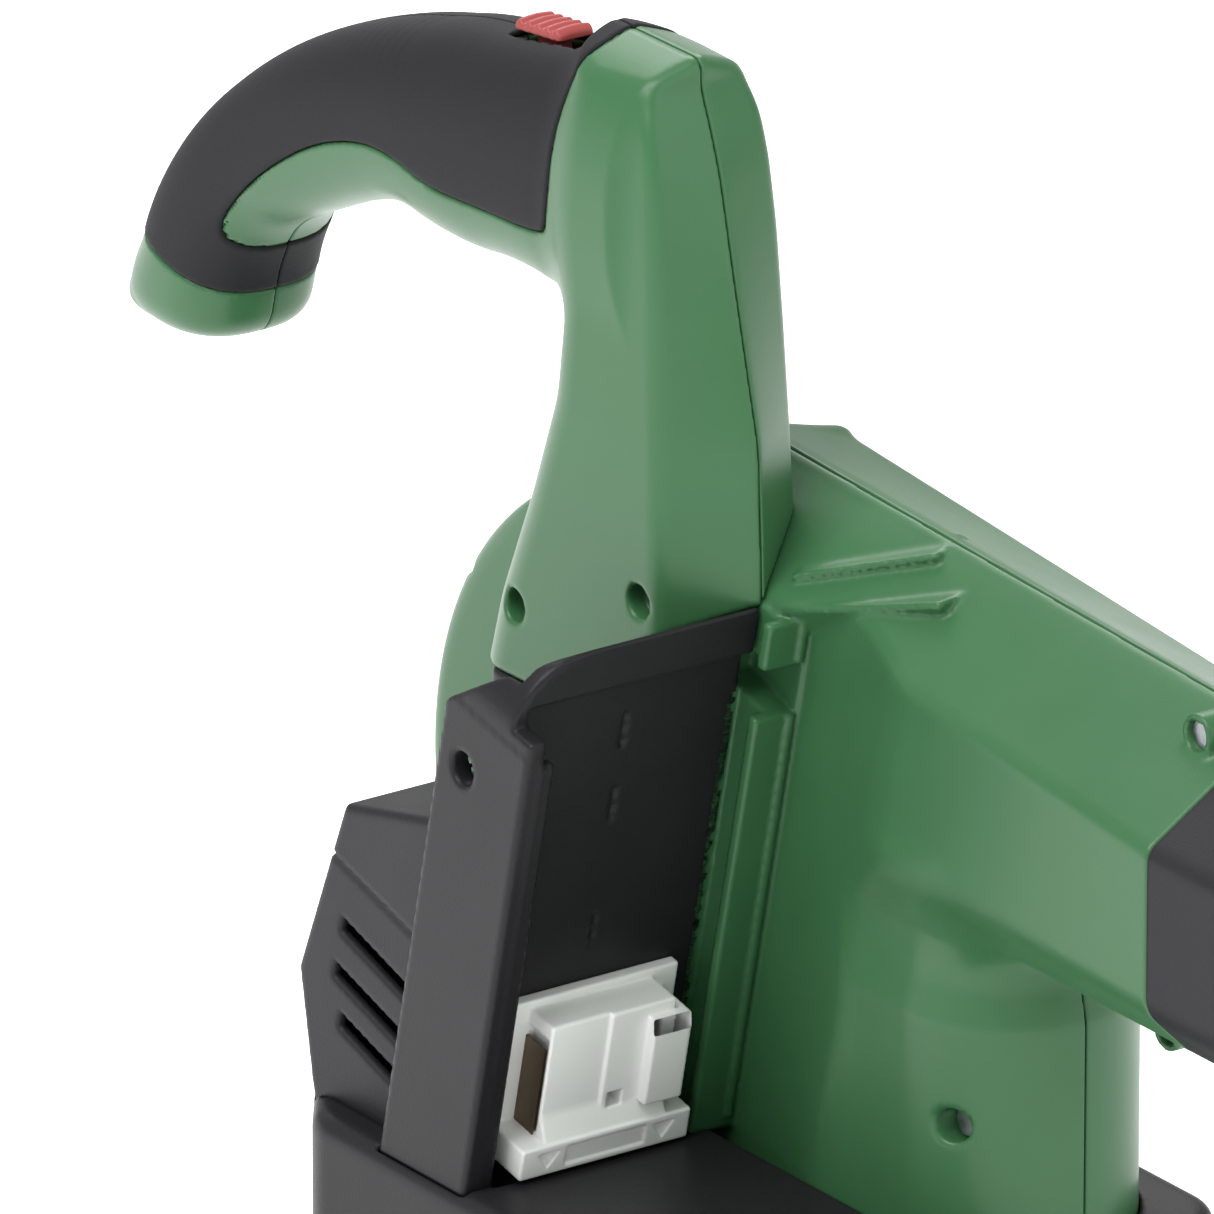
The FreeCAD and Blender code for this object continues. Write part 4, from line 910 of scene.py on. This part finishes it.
def terminal_block(x, y, z):
    """The light terminal block: back plate, body, holder, foot, slots for the blades and a square hole."""
    out, up = local_bay(x, z)
    out = out - FLOOR_FRONT
    up = up - BLOCK_LOW
    side = y - BLOCK_Y
    back = soft_max(soft_max(slab(out, 0, 3), np.abs(side) - 24, 0.5), slab(up, 0, 40), 0.5)
    front = out - 12 - np.clip((side + 1) * 2, 0, 1) * 0.8
    slant = (out - 15.5 + (up - 7.5) * 0.55) * 0.88
    body = soft_max(soft_max(np.maximum(-out, soft_min(front, slant, 0.6)), np.abs(side) - 17, 0.5),
                    slab(up, 6, 38), 0.8)
    holder = soft_max(soft_max(slab(out, 0, 16), slab(side, 9.5, 20.0), 0.5), slab(up, 12, 35), 0.5)
    foot = soft_max(soft_max(slab(out, 0, 16), np.abs(side) - 23.5, 0.5), slab(up, 0, 8), 0.5)
    panel = soft_max(np.maximum(15.4 - out, np.abs(side) - 11), slab(up, 1.6, 6.4), 0.3)
    made = soft_max(np.minimum(np.minimum(back, body), np.minimum(holder, foot)), -panel, 0.3)
    hole = np.maximum(np.maximum(slab(side, 1, 5), slab(up, 12, 16)), 5 - out)
    made = soft_max(made, -hole, 0.3)
    for low, high in ((-22, -15), (15, 19)):
        slot = np.maximum(np.maximum(slab(out, 3, 11), slab(side, low, high)), slab(up, 9, 34))
        made = soft_max(made, -slot, 0.3)
    for middle in (-16, 16):
        mark = np.maximum(np.maximum(np.abs(side - middle) - (up - 1.8) * 0.7, up - 6.0), 14.6 - out)
        made = soft_max(made, -mark, 0.3)
    return made


block_low, block_high = box_mm("terminal_block")
moulded("terminal_block_moulding", terminal_block, block_low - 1, block_high + (1, 1, 1), 0.5 * FINE, cream,
        "machine", "cream_plastic", "terminal_block")

# ------------------------------------------------------------------ slide switch

slider_low, slider_high = box_mm("switch_slider")
SLIDER_X, SLIDER_Z = -46.0, 287.8
SLIDER_TILT = math.radians(6)
BUTTON_HALF = 9.0
RIB_HEIGHT, RIB_PITCH = 0.5, 3.6


def slide_switch(x, y, z):
    """The sliding switch: a rounded button with four cross ribs, on a stem."""
    along = (x - SLIDER_X) * math.cos(SLIDER_TILT) + (z - SLIDER_Z) * math.sin(SLIDER_TILT)
    height = -(x - SLIDER_X) * math.sin(SLIDER_TILT) + (z - SLIDER_Z) * math.cos(SLIDER_TILT)
    side = y - HANDLE_Y
    crown = 2.2 + RIB_HEIGHT * np.cos(along * 2 * math.pi / RIB_PITCH) - side * side * 0.02
    outline = soft_max(np.abs(along) - BUTTON_HALF, np.abs(side) - 5, 1.2)
    button = soft_max(outline, (height - crown) * 0.8, 0.8)
    button = np.maximum(button, -0.2 - height)
    stem = np.maximum(np.maximum(np.abs(along) - 4, np.abs(side) - 2), slab(z, slider_low[2], SLIDER_Z + 1))
    return np.minimum(button, stem)


moulded("switch_button", slide_switch, slider_low - 1, slider_high + 1, 0.35 * FINE, red, "power_slider",
        "red_plastic", "switch_slider")

# ------------------------------------------------------------------ air tube

DROP = math.radians(4)
SOCKET_END = DUCT_FRONT + SPIGOT + 3
MORPH_END = SOCKET_END + 75
SOCKET_Z, PIPE_Z = 151.0, 144.5
PIPE_RADIUS, NOZZLE_RADIUS = 30.0, 25.0
TUBE_WALL = 1.8
REAR_END, PLUG_END = 460.0, 486.0
ANGLES = np.linspace(0, 2 * math.pi, 193)[:-1]


def section_radius(x, centre_z, inset):
    """Distance from the tube's middle to the duct's section at each angle, by halving the search span."""
    low = np.zeros((len(x), len(ANGLES)))
    high = np.full(low.shape, 70.0)
    for _ in range(26):
        middle = (low + high) / 2
        y = middle * np.cos(ANGLES)
        z = centre_z[:, None] + middle * np.sin(ANGLES)
        outside = duct_sides(np.minimum(x, DUCT_FRONT)[:, None], y, z, inset) > 0
        high = np.where(outside, middle, high)
        low = np.where(outside, low, middle)
    return (low + high) / 2


def tube_rings(x, radius, inset):
    """Rings of the tube: the duct's section up to the socket's end, easing into a circle beyond it."""
    share = np.clip((x - SOCKET_END) / (MORPH_END - SOCKET_END), 0, 1)
    share = share * share * (3 - 2 * share)
    centre_z = SOCKET_Z + (PIPE_Z - SOCKET_Z) * share - np.tan(DROP) * np.clip(x - MORPH_END, 0, None)
    duct_radius = section_radius(x, np.full(len(x), SOCKET_Z), inset)
    blended = duct_radius * (1 - share[:, None]) + radius[:, None] * share[:, None]
    lean = DROP * share
    up = blended * np.sin(ANGLES)
    return np.stack([x[:, None] + up * np.sin(lean)[:, None], blended * np.cos(ANGLES),
                     centre_z[:, None] + up * np.cos(lean)[:, None]], 2)


def tube_piece(name, outer, inner, looks, body, node):
    """A closed tube wall: rings along the outside, round the far rim and back along the inside."""
    rings = np.concatenate([outer, inner[::-1]])
    rows, columns = rings.shape[:2]
    index = np.arange(rows * columns).reshape(rows, columns)
    below = np.roll(index, -1, axis=0)
    quads = np.stack([index, np.roll(index, -1, axis=1), np.roll(below, -1, axis=1), below], 2).reshape(-1, 4)
    made = make_mesh(name, rings.reshape(-1, 3), quads, looks)
    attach(made, body)
    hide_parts(node)
    return made


def run(*spans):
    """Stations along the tube from spans of start, end and number."""
    return np.concatenate([np.linspace(*span) for span in spans])


# x and radius of each ring; the radius counts where the section is round
socket_x = run((SOCKET_START + 0.6, SOCKET_END, 14), (SOCKET_END + 1, MORPH_END, 44),
               (MORPH_END + 4, REAR_END - 0.6, 30))
plug_x = run((REAR_END + 0.4, PLUG_END - 0.6, 8))
rear_outer_x = np.concatenate([[SOCKET_START], socket_x, [REAR_END, REAR_END], plug_x, [PLUG_END]])
pipe_r = np.full(len(socket_x) + 1, PIPE_RADIUS)
rear_outer_r = np.concatenate([pipe_r, [29.6, 28.2], np.full(len(plug_x), 27.8), [27.4]])
rear_outer = tube_rings(rear_outer_x, rear_outer_r, 0.0)
rear_inner_x = np.concatenate([[SOCKET_START], socket_x, [REAR_END], plug_x, [PLUG_END]])
rear_inner_r = np.concatenate([pipe_r - TUBE_WALL, [27.2], np.full(len(plug_x), 26.0), [26.2]])
rear_inner = tube_rings(rear_inner_x, rear_inner_r, TUBE_WALL)
tube_piece("air_tube_rear", rear_outer, rear_inner, charcoal, "rear_tube", "tube_rear")

front_x = run((NOZZLE_START + 0.8, 691.4, 60))
taper = (PIPE_RADIUS - NOZZLE_RADIUS) / (TUBE_FRONT - NOZZLE_START)
front_r = PIPE_RADIUS - taper * (front_x - NOZZLE_START)
outer_x = np.concatenate([[NOZZLE_START + 0.2, NOZZLE_START + 0.4], front_x, [692.2, 693, 696, 697.4, 698.0]])
outer_r = np.concatenate([[29.0, 29.7], front_r, [26.0, 26.6, 26.6, 26.3, 25.6]])
front_outer = tube_rings(outer_x, outer_r, 0.0)
inner_x = np.concatenate([[NOZZLE_START + 0.2], front_x, [698.0]])
inner_r = np.concatenate([[28.3], np.where(front_x < 488, 28.15, front_r - 1.9), [23.4]])
front_inner = tube_rings(inner_x, inner_r, TUBE_WALL)
tube_piece("air_tube_nozzle", front_outer, front_inner, charcoal, "front_nozzle",
           "tube_nozzle")

# ------------------------------------------------------------------ materials of the carried-over pieces

LOOKS = [
    (charcoal, ["intake_grille", "power_switch", "motor_end_bell", "impeller", "board_components"]),
    (soft_grip, ["rubber_feet"]),
    (brass, ["power_contact_blades", "signal_contact", "motor_terminals", "commutator"]),
    (board_green, ["control_board"]),
    (carbon, ["carbon_brushes"]),
    (dull_magnet, ["field_magnets"]),
    (lead_red, ["motor_lead_positive"]),
    (lead_black, ["motor_lead_negative"]),
    (steel, ["bearing_front", "bearing_rear", "motor_can", "motor_shaft", "rotor_core", "fan_nut",
             "motor_bracket", "body_screws", "neck_screws", "grip_screws", "column_screw",
             "motor_bracket_screws", "grille_screws"])]
for looks, labels in LOOKS:
    for label in labels:
        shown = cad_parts[label]
        shown.data.materials.clear()
        shown.data.materials.append(looks)

# ------------------------------------------------------------------ studio

VIEW = Vector((0.760, -0.5375, 0.365)).normalized()
target = Vector((BAY_X - 37, HANDLE_Y - 20, BAY_Z + 15)) * MM
CAMERA_DISTANCE = 5.0
CAMERA_LENS = 652
camera_data = bpy.data.cameras.new("camera")
camera_data.lens = CAMERA_LENS
camera = bpy.data.objects.new("camera", camera_data)
camera.location = target + VIEW * CAMERA_DISTANCE
camera.rotation_euler = VIEW.to_track_quat("Z", "Y").to_euler()
bpy.context.scene.collection.objects.link(camera)
bpy.context.scene.camera = camera


def lamp(name, direction, away, size, power):
    """A soft square light that looks at the object from one direction."""
    data = bpy.data.lights.new(name, "AREA")
    data.size = size
    data.energy = power
    made = bpy.data.objects.new(name, data)
    toward = Vector(direction).normalized()
    made.location = target + toward * away
    made.rotation_euler = toward.to_track_quat("Z", "Y").to_euler()
    bpy.context.scene.collection.objects.link(made)


lamp("key", (0.1, -0.6, 1.0), 1.6, 1.1, 26)
lamp("fill", (1.0, 0.35, 0.45), 1.8, 1.4, 9)
lamp("back", (-0.8, 0.5, 0.9), 1.8, 1.0, 16)

world = bpy.data.worlds.new("studio")
world.use_nodes = True
world.node_tree.nodes["Background"].inputs["Color"].default_value = (1, 1, 1, 1)
world.node_tree.nodes["Background"].inputs["Strength"].default_value = 0.62
bpy.context.scene.world = world
bpy.context.scene.view_settings.view_transform = "Standard"

FLOOR_REACH = 8.0
floor_mesh = bpy.data.meshes.new("floor")
floor_corners = [(-FLOOR_REACH, -FLOOR_REACH, 0), (FLOOR_REACH, -FLOOR_REACH, 0),
                 (FLOOR_REACH, FLOOR_REACH, 0), (-FLOOR_REACH, FLOOR_REACH, 0)]
floor_mesh.from_pydata(floor_corners, [], [(0, 1, 2, 3)])
floor = bpy.data.objects.new("floor", floor_mesh)
bpy.context.scene.collection.objects.link(floor)
paper = Finish("pale_floor")
paper.set(Base_Color=(0.96, 0.96, 0.96, 1), Roughness=0.9)
paper.set(Emission_Color=(1, 1, 1, 1), Emission_Strength=0.55)
floor_mesh.materials.append(paper.material)
